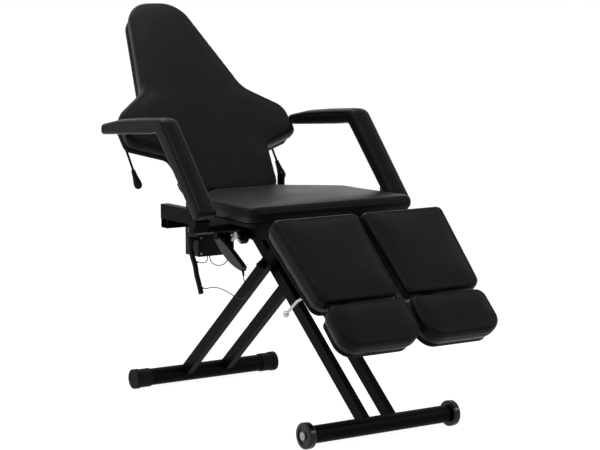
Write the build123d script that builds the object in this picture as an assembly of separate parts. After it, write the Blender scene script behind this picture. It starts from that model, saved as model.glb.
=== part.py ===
from build123d import *
import os
from math import atan2, cos, degrees, hypot, radians, sin, tan

# A reclining treatment chair on a scissor lift, in millimetres.
# It is drawn with X across the chair, +X at the sitter's left, the feet toward -Y and the floor
# at Z zero. Y zero is the axis of the rear floor tube. When the nodes are written they are moved
# along Y, so that the origin lies on the floor below the centre of the whole chair.

# Clearances that several pieces share
running_clearance = 0.05
seating_clearance = 0.3
cut_overrun = 4.0

# Rear floor tube and its rubber end caps
rear_tube_radius = 29.0
rear_tube_wall = 3.0
cap_outer_x = 288.0
cap_length = 62.0
cap_sleeve_radius = 32.0
cap_flange_radius = 34.0
cap_flange_width = 18.0
cap_end_wall = 5.0
floor_flat_depth = 0.5

# Front floor tube, its wheels and the bolts that carry them
front_tube_radius = 27.5
front_tube_half_length = 255.0
front_tube_wall = 3.0
front_tube_plug = 12.0
wheel_radius = 41.0
wheel_width = 25.0
wheel_overhang = 31.5
wheel_edge_radius = 5.0
wheel_hub_radius = 16.0
wheel_recess_radius = 27.0
wheel_recess_depth = 3.0
wheel_bolt_radius = 8.0
bolt_head_radius = 13.0
bolt_head_height = 5.0

# Scissor legs: two outer legs turn on the rear tube, two inner legs rise from the front tube
leg_run = 520.0
pivot_height = 480.0
upper_run = 132.0
leg_depth = 40.0
leg_width = 24.0
leg_wall = 2.5
inner_leg_x = 38.0
outer_leg_x = 68.0
pivot_tube_radius = 20.0
scissor_axle_radius = 9.0
scissor_axle_half_length = 112.0
axle_nut_radius = 14.0
axle_nut_width = 11.0
roller_axle_radius = 8.0
roller_radius = 16.0
roller_width = 20.0
roller_gap = 4.0
roller_clip_width = 2.2
roller_clip_radius = 12.0
lift_pin_radius = 8.0
lift_pin_head_radius = 12.0
lift_pin_head_width = 6.0
pin_lug_x = 27.0
pin_lug_width = 6.0
pin_lug_radius = 15.0

# Lever on the inner legs that the lift actuator pushes
lever_pin_y = -340.0
lever_pin_z = 545.0
lever_thickness = 8.0
lever_half_depth = 14.0
lever_pin_radius = 6.0
lever_pin_half_length = 14.0

# Seat frame: rails, cross tubes, tracks and hinge ears
rail_inner_x = 185.0
rail_width = 30.0
rail_bottom = 593.0
rail_height = 50.0
rail_wall = 2.5
rail_rear_y = -76.0
rail_front_y = -790.0
plug_cap_thickness = 3.0
plug_insert_depth = 18.0
cross_tube_width = 30.0
cross_tube_height = 28.0
cross_tube_wall = 2.5
middle_tube_y = -560.0
front_cross_tube_y = -775.0
crossbar_half_length = 200.0
crossbar_rear_y = -50.0
crossbar_width = 42.0
crossbar_height = 34.0
track_plate_x = 94.0
track_width = 30.0
track_flange = 4.0
track_drop = 30.0
ear_thickness = 8.0
ear_rear_y = -196.0
ear_front_y = -230.0
ear_bottom = 600.0
ear_top = 738.0
ear_corner_radius = 15.0

# Seat
board_thickness = 12.0
board_inset = 10.0
board_edge_radius = 2.0
seat_top = 713.0
seat_front_y = -797.0
seat_rear_y = -262.0
seat_front_half_width = 313.0
seat_shoulder_half_width = 300.0
seat_shoulder_y = -415.0
seat_waist_half_width = 150.0
seat_waist_y = -292.0
seat_corner_radius = 24.0
seat_edge_radius = 14.0
seat_crown = 5.0

# Backrest, measured from its hinge: along the board and square to it
back_hinge_y = -213.8
back_hinge_z = 668.0
back_slope = 46.4
back_start = 2.4
back_length = 846.0
back_half_width = 337.0
back_front = 52.0
back_thickness = 80.0
back_board_thickness = 15.0
back_corner_radius = 30.0
back_head_radius = 98.0
back_wing_radius = 60.0
back_waist_radius = 80.0
back_edge_radius = 14.0
back_crown = 6.0
back_pin_radius = 8.0
back_barrel_radius = 17.0
back_arm_thickness = 8.0
back_tube_size = 25.0
back_cross_depth = 12.0
back_tube_wall = 2.0
back_tube_x = 82.0
back_tube_start = 72.0
back_tube_end = 572.0

# Backrest outline from the lower corner to the head, as shares of half width and length
back_outline_share = (
    (0.460, 0.000),
    (0.571, 0.211),
    (1.000, 0.274),
    (0.994, 0.409),
    (0.604, 0.525),
    (0.300, 1.004),
)

# Gas spring that holds the backrest
spring_x = -60.0
spring_foot_y = -240.0
spring_foot_z = 500.0
spring_head_along = 110.0
spring_head_depth = 62.0
spring_cylinder_radius = 11.0
spring_cylinder_length = 142.0
spring_rod_radius = 5.0
spring_eye_radius = 10.0
spring_eye_width = 20.0
spring_pin_radius = 5.0
spring_plate_thickness = 6.0
spring_plate_gap = 1.5
spring_plate_radius = 15.0
spring_arm_depth = 26.0

# Release bar behind the backrest
release_bar_along = 280.0
release_bar_depth = 68.0
release_bar_radius = 5.0
release_bar_half_length = 290.0
release_drop_along = 118.0
release_drop_depth = 16.0
release_rod_radius = 4.0
release_grip_radius = 11.0
release_grip_length = 72.0
release_lug_width = 12.0
release_lug_radius = 10.0

# Lift actuator between the seat frame and the lever
actuator_rear_y = -118.0
actuator_rear_z = 566.0
actuator_radius = 17.0
actuator_neck = 18.0
actuator_body_length = 128.0
actuator_eye_radius = 12.0
actuator_eye_width = 22.0
actuator_pin_radius = 6.0
actuator_motor_radius = 15.0
actuator_motor_length = 84.0
actuator_motor_overlap = 4.0
actuator_gear_half_height = 11.0
actuator_rod_radius = 7.0
fork_length = 34.0
fork_plate_thickness = 5.0
fork_plate_gap = 1.0
fork_radius = 14.0
fork_hole_radius = 9.0

# Control box under the seat frame
box_near_x = -120.0
box_far_x = 22.0
box_rear_y = -76.0
box_front_y = -158.0
box_bottom = 463.0
box_top = 538.0
box_wall = 3.0
box_lid_thickness = 3.0
box_edge_radius = 3.0
box_screw_radius = 4.0
box_screw_height = 2.0
box_screw_inset = 10.0
hanger_thickness = 2.5
inlet_x = -50.0
inlet_z = 500.0
inlet_width = 28.0
inlet_height = 20.0
inlet_depth = 6.0
inlet_recess = 4.0
inlet_border = 3.0

# Cable sleeve that hangs beside the control box, its elbow and its grommets
sleeve_x = -141.0
sleeve_radius = 9.0
elbow_radius = 12.0
elbow_height = 22.0
elbow_y = -146.0
elbow_top = 536.0
grommet_radius = 3.5
grommet_length = 4.0
sleeve_points = (
    (-141.0, -146.0, 514.0),
    (-141.0, -146.0, 492.0),
    (-140.0, -155.0, 466.0),
    (-141.0, -176.0, 436.0),
    (-141.0, -183.0, 408.0),
    (-140.0, -197.0, 378.0),
    (-140.0, -211.0, 346.0),
)

# Thin cables
cable_radius = 1.6
handset_cord_points = (
    (-145.0, -486.0, 443.0),
    (-145.0, -489.0, 427.0),
    (-143.0, -506.0, 410.0),
    (-143.5, -512.0, 391.0),
    (-144.0, -496.0, 374.0),
    (-144.0, -468.0, 364.0),
    (-143.5, -434.0, 366.0),
    (-143.0, -396.0, 375.0),
    (-142.5, -354.0, 381.0),
    (-142.0, -312.0, 382.0),
    (-141.0, -272.0, 376.0),
    (-140.0, -247.0, 367.5),
    (-140.0, -221.0, 367.0),
)
link_cable_points = (
    (-127.0, -166.0, 447.0),
    (-110.0, -160.0, 443.0),
    (-92.0, -151.0, 439.5),
    (-77.0, -143.5, 441.0),
    (-70.0, -140.0, 450.0),
    (-70.0, -140.0, 463.0),
)
loop_cable_points = (
    (-62.0, -140.0, 463.0),
    (-62.0, -140.0, 447.0),
    (-51.0, -141.5, 432.0),
    (-30.0, -143.0, 423.0),
    (-8.0, -142.5, 426.0),
    (7.0, -141.0, 436.0),
    (13.0, -140.0, 449.0),
    (13.0, -140.0, 463.0),
)

# Handset in its clip on the near rail
handset_back_x = -154.0
handset_thickness = 18.0
handset_face_thickness = 3.0
handset_top_y = -318.0
handset_top_z = 559.0
handset_bottom_y = -490.0
handset_bottom_z = 466.0
handset_end_half_width = 8.0
handset_belly = 27.0
handset_brow = 13.0
handset_edge_radius = 2.5
button_radius = 9.0
button_height = 4.0
button_travel = 1.5
button_share = (0.34, 0.58)
relief_radius = 5.0
relief_tip_radius = 3.0
relief_length = 20.0
clip_thickness = 2.0
clip_length = 26.0
clip_drop = 46.0

# Armrests
arm_inner_x = 341.0
arm_width = 70.0
arm_tail_y = -12.0
arm_length = 645.0
arm_base_z = 650.0
arm_height = 315.0
arm_tail_radius = 12.0
arm_sweep_radius = 200.0
arm_elbow_radius = 48.0
arm_foot_radius = 14.0
arm_bend_radius = 24.0
arm_bar_thickness = 8.0
arm_bar_width = 50.0
arm_bar_rise = 84.0
arm_beam_offset = 7.0
arm_beam_depth = 28.0
arm_beam_bottom = 614.0
arm_beam_top = 630.0
arm_pivot_inset = 52.0
arm_pivot_z = 598.0
arm_pivot_radius = 9.0
arm_eye_radius = 18.0
arm_eye_thickness = 10.0
arm_hub_radius = 29.0
arm_hub_thickness = 14.0

# Wing bolts that clamp the armrests
wing_boss_radius = 11.0
wing_boss_length = 10.0
wing_radius = 4.5
wing_thickness = 6.0
wing_reach = 21.0
wing_drop = 17.0

# Armrest outline: upper face then lower face, as shares of arm length and arm height
arm_upper_share = ((0.000, 0.861), (0.160, 0.922), (0.358, 0.962), (0.613, 1.000), (1.000, 0.092))
arm_lower_share = ((0.000, 0.737), (0.160, 0.766), (0.427, 0.800), (0.568, 0.829), (0.936, 0.000))

# Armrest section across its width: place, lift of the lower face and height of the upper face
arm_section_share = (
    (0.00, 0.10, 0.78),
    (0.05, 0.03, 0.88),
    (0.16, 0.00, 0.95),
    (0.50, 0.00, 1.00),
    (0.84, 0.00, 0.95),
    (0.95, 0.03, 0.88),
    (1.00, 0.10, 0.78),
)

# Leg rests, measured from their hinge: along the slope and square to it
leg_pivot_y = -847.0
leg_pivot_z = 546.0
leg_slope = 42.8
leg_centre_x = 161.0
calf_top = 165.0
calf_thickness = 90.0
calf_upper_end = 42.0
calf_length = 327.0
calf_upper_inner_x = 6.0
calf_lower_inner_x = 14.0
calf_upper_outer_x = 323.0
calf_lower_outer_x = 300.0
calf_corner_radius = 18.0
calf_lower_corner_radius = 34.0
calf_edge_radius = 13.0
calf_crown = 5.0
calf_tube_size = 30.0
calf_tube_wall = 3.0
calf_tube_upper = 22.0
calf_tube_lower = -268.0
calf_cross_width = 24.0
calf_cross_half_length = 105.0
calf_cross_along = -150.0
calf_web_thickness = 12.0
calf_web_half_depth = 18.0
leg_barrel_radius = 14.0
leg_pin_radius = 8.0
leg_ear_thickness = 6.0
leg_ear_radius = 16.0

# Foot rests on sliding bars
slider_inner_end = -60.0
slider_travel = 150.0
foot_pivot_along = -310.0
foot_slope = 44.0
foot_top = 104.5
foot_thickness = 80.0
foot_rear = 17.0
foot_length = 158.0
foot_inner_x = 7.0
foot_outer_x = 294.0
foot_front_radius = 58.0
foot_rear_radius = 30.0
foot_edge_radius = 12.0
foot_crown = 4.0
foot_eye_radius = 12.0
foot_pin_radius = 5.0
foot_plate_thickness = 4.0
foot_plate_front = -96.0

# Clamp levers that lock the sliding bars
lever_along = -192.0
clamp_boss_radius = 12.0
clamp_boss_length = 12.0
clamp_rod_radius = 4.5
clamp_reach_x = 290.0
clamp_drop = 84.0
clamp_bend_radius = 26.0
clamp_tip_shift = 8.0
clamp_knob_radius = 10.0

# Places that follow from the sizes above
rear_axis_z = cap_flange_radius - floor_flat_depth
wheel_outer_x = front_tube_half_length + wheel_overhang
rear_axis = (0.0, rear_axis_z)
pivot = (-leg_run, pivot_height)
wheel_axis = (-2 * leg_run, wheel_radius)
roller_axis = (-leg_run - upper_run, pivot_height + upper_run * (pivot_height - rear_axis_z) / leg_run)
lift_hinge = (upper_run - leg_run, pivot_height + upper_run * (pivot_height - wheel_radius) / leg_run)
rail_top = rail_bottom + rail_height
rail_outer_x = rail_inner_x + rail_width
cross_tube_bottom = rail_top - cross_tube_height
crossbar_bottom = rail_bottom - crossbar_height
crossbar_front_y = crossbar_rear_y - crossbar_width
inner_leg_outer_x = inner_leg_x + leg_width
outer_leg_outer_x = outer_leg_x + leg_width
lever_pin = (lever_pin_y, lever_pin_z)
actuator_rear = (actuator_rear_y, actuator_rear_z)
spring_foot = (spring_foot_y, spring_foot_z)
calf_bottom = calf_top - calf_thickness
calf_tube_centre = calf_bottom - calf_tube_size / 2
slider_size = calf_tube_size - 2 * calf_tube_wall - 2 * seating_clearance
arm_pivot_y = arm_tail_y - arm_length + arm_pivot_inset
arm_pivot = (arm_pivot_y, arm_pivot_z)
arm_beam_front_y = arm_pivot_y + arm_beam_offset
arm_beam_rear_y = arm_beam_front_y + arm_beam_depth
foot_bottom = foot_top - foot_thickness


# Shapes that several sub-parts share

def block(x_start, x_end, y_start, y_end, z_start, z_end):
    """A box between two corners."""
    corner = (Align.MIN, Align.MIN, Align.MIN)
    size = Box(x_end - x_start, y_end - y_start, z_end - z_start, align=corner)
    return Pos(x_start, y_start, z_start) * size


def rod(point, radius, x_start, x_end):
    """A round bar along X through a point given as (y, z)."""
    bar = Cylinder(radius, x_end - x_start, align=(Align.CENTER, Align.CENTER, Align.MIN))
    return Pos(x_start, point[0], point[1]) * Rot(0, 90, 0) * bar


def prism(corners, x_start, x_end):
    """A plate along X whose outline is a list of (y, z) corners."""
    face = make_face(Polyline(*corners, close=True))
    return Pos(x_start, 0, 0) * extrude(Plane.YZ * face, x_end - x_start)


def link(start, end, radius, x_start, x_end):
    """A bar with round ends between two (y, z) points."""
    run = end[0] - start[0]
    rise = end[1] - start[1]
    middle = Pos((start[0] + end[0]) / 2, (start[1] + end[1]) / 2)
    slot = Rot(0, 0, degrees(atan2(rise, run))) * SlotCenterToCenter(hypot(run, rise), 2 * radius)
    return Pos(x_start, 0, 0) * extrude(Plane.YZ * middle * slot, x_end - x_start)


def box_tube(x_start, x_end, y_start, y_end, z_start, z_end, wall, axis):
    """A rectangular tube, open along the named axis."""
    grow = {name: (cut_overrun if name == axis else -wall) for name in "XYZ"}
    outer = block(x_start, x_end, y_start, y_end, z_start, z_end)
    return outer - block(
        x_start - grow["X"],
        x_end + grow["X"],
        y_start - grow["Y"],
        y_end + grow["Y"],
        z_start - grow["Z"],
        z_end + grow["Z"],
    )


def both_sides(shape):
    """The same shape on both sides of the chair, as one compound."""
    return Compound(list(shape.solids()) + list(mirror(shape, about=Plane.YZ).solids()))


def inset_corners(corners, inset):
    """Corners drawn toward the middle of their outline by an inset at the widest places."""
    low_x = min(x for x, y in corners)
    high_x = max(x for x, y in corners)
    low_y = min(y for x, y in corners)
    high_y = max(y for x, y in corners)
    middle_x = (low_x + high_x) / 2
    middle_y = (low_y + high_y) / 2
    scale_x = 1 - 2 * inset / (high_x - low_x)
    scale_y = 1 - 2 * inset / (high_y - low_y)
    places = [(middle_x + (x - middle_x) * scale_x, middle_y + (y - middle_y) * scale_y) for x, y in corners]
    return places, min(scale_x, scale_y)


def outline_wire(corners, radii, inset, height):
    """A closed wire of lines and arcs at a height above the local XY plane."""
    places, shrink = inset_corners(corners, inset)
    lifted = [(x, y, height) for x, y in places]
    rounded = [radius * shrink for radius in radii]
    return FilletPolyline(*lifted, radius=rounded, close=True)


def board(corners, radii, inset, bottom, top):
    """A flat board with the same outline as its cushion."""
    lower = outline_wire(corners, radii, inset, bottom)
    upper = outline_wire(corners, radii, inset, top)
    return Solid.make_loft([lower, upper], True)


def cushion(corners, radii, bottom, top, edge, crown):
    """A cushion with drawn-in sides, rounded edges and a crowned top."""
    low_x = min(x for x, y in corners)
    high_x = max(x for x, y in corners)
    low_y = min(y for x, y in corners)
    high_y = max(y for x, y in corners)
    reach = min(high_x - low_x, high_y - low_y) / 2 - edge
    crease = top - crown
    layers = [(draw_in_share * edge, bottom), (0, (bottom + crease - edge) / 2)]
    for turn in (0, 30, 60, 90):
        inset = edge * (1 - cos(radians(turn)))
        layers.append((inset, crease - edge * (1 - sin(radians(turn)))))
    for share in crown_share:
        layers.append((edge + reach * share, crease + crown * share * (2 - share)))
    wires = [outline_wire(corners, radii, inset, height) for inset, height in layers]
    return Solid.make_loft(wires, True)


# Draw-in of a cushion's lower edge and places of the crown's layers, as shares
draw_in_share = 0.8
crown_share = (0.25, 0.55, 0.85)


def tube_path(points, radius, name):
    """A round cord along straight runs joined by tangent arcs, as large as the runs allow."""
    places = [Vector(*point) for point in points]
    runs = [end - start for start, end in zip(places, places[1:])]
    bends = []
    for before, after in zip(runs, runs[1:]):
        half_turn = radians(before.get_angle(after)) / 2
        bends.append(bend_share * min(before.length, after.length) / tan(half_turn))
    path = FilletPolyline(*points, radius=bends)
    section = Plane(origin=points[0], z_dir=runs[0]) * Circle(radius)
    cord = sweep(section, path=path)
    expected = section.area * path.length
    print(name, "length", round(path.length, 1), "smallest bend", round(min(bends), 1))
    print(name, "volume over section times length", round(cord.volume / expected, 4))
    return cord


# Share of the shorter run that each bend of a cord takes up
bend_share = 0.45


# Base and scissor lift

def rear_caps():
    """Rubber caps that carry the rear tube and stand on the floor."""
    inner_x = cap_outer_x - cap_length
    cap = rod(rear_axis, cap_sleeve_radius, inner_x, cap_outer_x)
    cap += rod(rear_axis, cap_flange_radius, cap_outer_x - cap_flange_width, cap_outer_x)
    bore = rear_tube_radius + running_clearance
    cap -= rod(rear_axis, bore, inner_x - cut_overrun, cap_outer_x - cap_end_wall)
    cap -= block(inner_x, cap_outer_x, -cap_flange_radius, cap_flange_radius, -floor_flat_depth, 0)
    return both_sides(cap)


def rear_tube():
    half_length = cap_outer_x - cap_end_wall - seating_clearance
    bore = rear_tube_radius - rear_tube_wall
    tube = rod(rear_axis, rear_tube_radius, -half_length, half_length)
    return tube - rod(rear_axis, bore, -half_length - cut_overrun, half_length + cut_overrun)


def front_tube():
    """Closed tube between the wheels, with threaded plugs for the wheel bolts."""
    tube = rod(wheel_axis, front_tube_radius, -front_tube_half_length, front_tube_half_length)
    bore = front_tube_radius - front_tube_wall
    hollow_half = front_tube_half_length - front_tube_plug
    tube -= rod(wheel_axis, bore, -hollow_half, hollow_half)
    hole = wheel_bolt_radius + running_clearance
    return tube - rod(wheel_axis, hole, -front_tube_half_length, front_tube_half_length)


def wheel():
    """One wheel with a rounded tread, a recessed face and a hub that meets the tube."""
    inner_x = wheel_outer_x - wheel_width
    tyre = rod(wheel_axis, wheel_radius, inner_x, wheel_outer_x)
    tyre = fillet(tyre.edges().filter_by(GeomType.CIRCLE), wheel_edge_radius)
    recess = rod(wheel_axis, wheel_recess_radius, wheel_outer_x - wheel_recess_depth, wheel_outer_x)
    tyre -= recess
    hub_x = front_tube_half_length + seating_clearance
    tyre += rod(wheel_axis, wheel_hub_radius, hub_x, wheel_outer_x - wheel_recess_depth)
    bore = wheel_bolt_radius + running_clearance
    return tyre - rod(wheel_axis, bore, hub_x - cut_overrun, wheel_outer_x + cut_overrun)


def wheel_bolts():
    face_x = wheel_outer_x - wheel_recess_depth + seating_clearance
    start_x = front_tube_half_length - front_tube_plug
    bolt = rod(wheel_axis, wheel_bolt_radius, start_x, face_x)
    bolt += rod(wheel_axis, bolt_head_radius, face_x, face_x + bolt_head_height)
    return both_sides(bolt)


def scissor_leg(start, end, x_start):
    """A hollow leg with closed round ends."""
    leg = link(start, end, leg_depth / 2, x_start, x_start + leg_width)
    hollow = leg_depth / 2 - leg_wall
    return leg - link(start, end, hollow, x_start + leg_wall, x_start + leg_width - leg_wall)


def cross_hole(point, radius, x_start):
    """The hole that a pin needs through one leg."""
    bore = radius + running_clearance
    return rod(point, bore, x_start - cut_overrun, x_start + leg_width + cut_overrun)


def outer_legs():
    leg = scissor_leg(rear_axis, roller_axis, outer_leg_x)
    leg -= rod(rear_axis, rear_tube_radius, outer_leg_x, outer_leg_outer_x)
    leg -= cross_hole(pivot, scissor_axle_radius, outer_leg_x)
    leg -= cross_hole(roller_axis, roller_axle_radius, outer_leg_x)
    return both_sides(leg)


def inner_legs():
    leg = scissor_leg(wheel_axis, lift_hinge, inner_leg_x)
    leg -= rod(wheel_axis, front_tube_radius, inner_leg_x, inner_leg_outer_x)
    leg -= cross_hole(pivot, scissor_axle_radius, inner_leg_x)
    leg -= cross_hole(lift_hinge, lift_pin_radius, inner_leg_x)
    return both_sides(leg)


def pivot_tube():
    """The tube between the inner legs with the lever and pin of the actuator welded to it."""
    half = lever_thickness / 2
    tube = rod(pivot, pivot_tube_radius, -inner_leg_x, inner_leg_x)
    tube += link(pivot, lever_pin, lever_half_depth, -half, half)
    tube += rod(lever_pin, lever_pin_radius, -lever_pin_half_length, lever_pin_half_length)
    bore = scissor_axle_radius + running_clearance
    return tube - rod(pivot, bore, -inner_leg_x - cut_overrun, inner_leg_x + cut_overrun)


def scissor_axle():
    """The axle with a nut outside each outer leg."""
    axle = rod(pivot, scissor_axle_radius, -scissor_axle_half_length, scissor_axle_half_length)
    nut_x = outer_leg_outer_x + seating_clearance
    nut = rod(pivot, axle_nut_radius, nut_x, nut_x + axle_nut_width)
    return axle + nut + mirror(nut, about=Plane.YZ)


def roller_axle():
    """The axle of the two rollers with a clip at each end."""
    clip_x = outer_leg_outer_x + roller_gap + roller_width + seating_clearance
    half_length = clip_x + roller_clip_width
    axle = rod(roller_axis, roller_axle_radius, -half_length, half_length)
    clip = rod(roller_axis, roller_clip_radius, clip_x, half_length)
    collar_x = outer_leg_outer_x + seating_clearance
    collar = rod(roller_axis, roller_clip_radius, collar_x, collar_x + roller_gap - 2 * seating_clearance)
    return axle + clip + collar + mirror(clip, about=Plane.YZ) + mirror(collar, about=Plane.YZ)


def rollers():
    inner_x = outer_leg_outer_x + roller_gap
    roller = rod(roller_axis, roller_radius, inner_x, inner_x + roller_width)
    bore = roller_axle_radius + running_clearance
    hole = rod(roller_axis, bore, inner_x - cut_overrun, inner_x + roller_width + cut_overrun)
    return both_sides(roller - hole)


def lift_hinge_pin():
    head_x = inner_leg_outer_x + seating_clearance
    pin = rod(lift_hinge, lift_pin_radius, -head_x, head_x)
    head = rod(lift_hinge, lift_pin_head_radius, head_x, head_x + lift_pin_head_width)
    return pin + head + mirror(head, about=Plane.YZ)


# Seat frame

def side_rails():
    """Rails with the hubs and pins of the armrests on their outer faces."""
    rail = box_tube(
        rail_inner_x, rail_outer_x, rail_front_y, rail_rear_y, rail_bottom, rail_top, rail_wall, "Y"
    )
    hub = rod(arm_pivot, arm_hub_radius, rail_outer_x, arm_hub_face_x)
    pin = rod(arm_pivot, arm_pivot_radius, rail_outer_x, arm_eye_face_x)
    return both_sides(rail + hub + pin)


def rail_plugs():
    """Plastic plugs in the four open ends of the side rails."""
    gap = rail_wall + running_clearance
    plugs = []
    for end_y, outward in ((rail_rear_y, 1), (rail_front_y, -1)):
        cap_y = end_y + outward * plug_cap_thickness
        tip_y = end_y - outward * plug_insert_depth
        cap_low = min(end_y, cap_y)
        cap_high = max(end_y, cap_y)
        tip_low = min(end_y, tip_y)
        tip_high = max(end_y, tip_y)
        cap = block(rail_inner_x, rail_outer_x, cap_low, cap_high, rail_bottom, rail_top)
        insert = block(
            rail_inner_x + gap, rail_outer_x - gap, tip_low, tip_high, rail_bottom + gap, rail_top - gap
        )
        plugs.append(cap + insert)
    return both_sides(plugs[0] + plugs[1])


def cross_tube(centre_y):
    half = cross_tube_width / 2
    tube = box_tube(
        -rail_inner_x, rail_inner_x, centre_y - half, centre_y + half,
        cross_tube_bottom, rail_top, cross_tube_wall, "X",
    )
    return tube


def pin_lugs():
    """Lugs below the rear cross tube that hold the lift hinge pin."""
    half = cross_tube_width / 2
    weld = (lift_hinge[0], cross_tube_bottom)
    lug = link(lift_hinge, weld, pin_lug_radius, pin_lug_x, pin_lug_x + pin_lug_width)
    lug -= block(
        pin_lug_x, pin_lug_x + pin_lug_width, lift_hinge[0] - half, lift_hinge[0] + half,
        cross_tube_bottom, rail_top,
    )
    bore = lift_pin_radius + running_clearance
    lug -= rod(lift_hinge, bore, pin_lug_x - cut_overrun, pin_lug_x + pin_lug_width + cut_overrun)
    return lug + mirror(lug, about=Plane.YZ)


def leg_ears():
    """Ears below the front cross tube with the hinge pins of the leg rests."""
    half_tube = calf_tube_size / 2 + seating_clearance
    rear_y = front_cross_tube_y + cross_tube_width / 2
    front_y = front_cross_tube_y - cross_tube_width / 2
    foot = (leg_pivot_y, leg_pivot_z)
    corners = (
        (rear_y, cross_tube_bottom),
        (front_y, cross_tube_bottom),
        (leg_pivot_y - leg_ear_radius, leg_pivot_z + leg_ear_radius / 2),
        (leg_pivot_y, leg_pivot_z - leg_ear_radius),
        (leg_pivot_y + leg_ear_radius, leg_pivot_z - leg_ear_radius / 2),
    )
    ears = Part()
    for start_x in (leg_centre_x - half_tube - leg_ear_thickness, leg_centre_x + half_tube):
        ears += prism(corners, start_x, start_x + leg_ear_thickness)
        ears += rod(foot, leg_ear_radius, start_x, start_x + leg_ear_thickness)
    ears += rod(foot, leg_pin_radius, leg_centre_x - half_tube, leg_centre_x + half_tube)
    return ears + mirror(ears, about=Plane.YZ)


def back_ears():
    """Ears on the rails with the hinge pins of the backrest."""
    start_x = rail_inner_x - ear_thickness
    ear = block(start_x, rail_inner_x, ear_front_y, ear_rear_y, ear_bottom, ear_top)
    top_edges = ear.edges().filter_by(Axis.X).group_by(Axis.Z)[-1]
    ear = fillet(top_edges, ear_corner_radius)
    pin_start = start_x - back_arm_thickness - 2 * seating_clearance
    ear += rod((back_hinge_y, back_hinge_z), back_pin_radius, pin_start, start_x)
    return ear + mirror(ear, about=Plane.YZ)


def spring_plates():
    """Two plates from the rear crossbar that hold the lower eye of the gas spring."""
    half_eye = spring_eye_width / 2 + spring_plate_gap
    arm_top = rail_bottom - cut_overrun
    corners = (
        (crossbar_front_y, arm_top),
        (spring_foot_y + spring_plate_radius, arm_top),
        (spring_foot_y - spring_plate_radius, spring_foot_z),
        (spring_foot_y + spring_plate_radius, spring_foot_z),
        (spring_foot_y + 2 * spring_plate_radius, arm_top - spring_arm_depth),
        (crossbar_front_y, arm_top - spring_arm_depth),
    )
    plates = Part()
    for start_x in (spring_x - half_eye - spring_plate_thickness, spring_x + half_eye):
        plates += prism(corners, start_x, start_x + spring_plate_thickness)
        plates += rod(spring_foot, spring_plate_radius, start_x, start_x + spring_plate_thickness)
    return plates + rod(spring_foot, spring_pin_radius, spring_x - half_eye, spring_x + half_eye)


def actuator_ears():
    """Two ears on the rear crossbar with the rear pin of the actuator."""
    half_eye = actuator_eye_width / 2 + seating_clearance
    corners = (
        (crossbar_front_y, crossbar_bottom),
        (crossbar_front_y, rail_bottom),
        (actuator_rear_y, actuator_rear_z + actuator_eye_radius),
        (actuator_rear_y, actuator_rear_z - actuator_eye_radius),
    )
    ear = prism(corners, half_eye, half_eye + spring_plate_thickness)
    ear += rod(actuator_rear, actuator_eye_radius, half_eye, half_eye + spring_plate_thickness)
    pin = rod(actuator_rear, actuator_pin_radius, -half_eye, half_eye)
    return ear + mirror(ear, about=Plane.YZ) + pin


def rear_crossbar():
    """The crossbar below the rails with the plates and ears welded to it."""
    bar = box_tube(
        -crossbar_half_length, crossbar_half_length, crossbar_front_y, crossbar_rear_y,
        crossbar_bottom, rail_bottom, cross_tube_wall, "X",
    )
    return bar + spring_plates() + actuator_ears()


def seat_cross_tubes():
    """Cross tubes between the rails, with the lugs and ears welded to them."""
    rear = cross_tube(lift_hinge[0]) + pin_lugs()
    front = cross_tube(front_cross_tube_y) + leg_ears()
    ears = back_ears()
    tubes = list(rear.solids()) + list(cross_tube(middle_tube_y).solids())
    return Compound(tubes + list(front.solids()) + list(ears.solids()))


def roller_tracks():
    """Inverted channels that run on the rollers."""
    underside = roller_axis[1] + roller_radius + seating_clearance
    rear_y = middle_tube_y + cross_tube_width / 2
    front_y = front_cross_tube_y - cross_tube_width / 2
    outer_x = track_plate_x + track_width
    track = block(track_plate_x, outer_x, front_y, rear_y, underside, cross_tube_bottom)
    flange_bottom = underside - track_drop
    track += block(outer_x - track_flange, outer_x, front_y, rear_y, flange_bottom, underside)
    return both_sides(track)


# Seat

def seat_corners():
    half = (
        (seat_front_half_width, seat_front_y),
        (seat_shoulder_half_width, seat_shoulder_y),
        (seat_waist_half_width, seat_waist_y),
        (seat_waist_half_width - seat_corner_radius, seat_rear_y),
    )
    return half + tuple((-x, y) for x, y in reversed(half))


def seat_radii():
    small = seat_corner_radius / 2
    half = (seat_corner_radius, seat_corner_radius, small, small)
    return half + half[::-1]


def seat_board():
    return board(seat_corners(), seat_radii(), board_inset, rail_top, rail_top + board_thickness)


def seat_cushion():
    bottom = rail_top + board_thickness
    return cushion(seat_corners(), seat_radii(), bottom, seat_top, seat_edge_radius, seat_crown)


# Backrest, drawn flat in the frame of its hinge and then tilted

back_place = Pos(0, back_hinge_y, back_hinge_z) * Rot(back_slope, 0, 0)
back_rear = back_front - back_thickness


def back_corners():
    half = tuple(
        (x_share * back_half_width, back_start + y_share * back_length)
        for x_share, y_share in back_outline_share
    )
    return half + tuple((-x, y) for x, y in reversed(half))


def back_radii():
    half = (
        back_corner_radius,
        back_corner_radius,
        back_corner_radius,
        back_wing_radius,
        back_waist_radius,
        back_head_radius,
    )
    return half + half[::-1]


def back_board():
    top = back_rear + back_board_thickness
    return back_place * board(back_corners(), back_radii(), board_inset, back_rear, top)


def back_cushion():
    bottom = back_rear + back_board_thickness
    pad = cushion(back_corners(), back_radii(), bottom, back_front, back_edge_radius, back_crown)
    return back_place * pad


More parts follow.
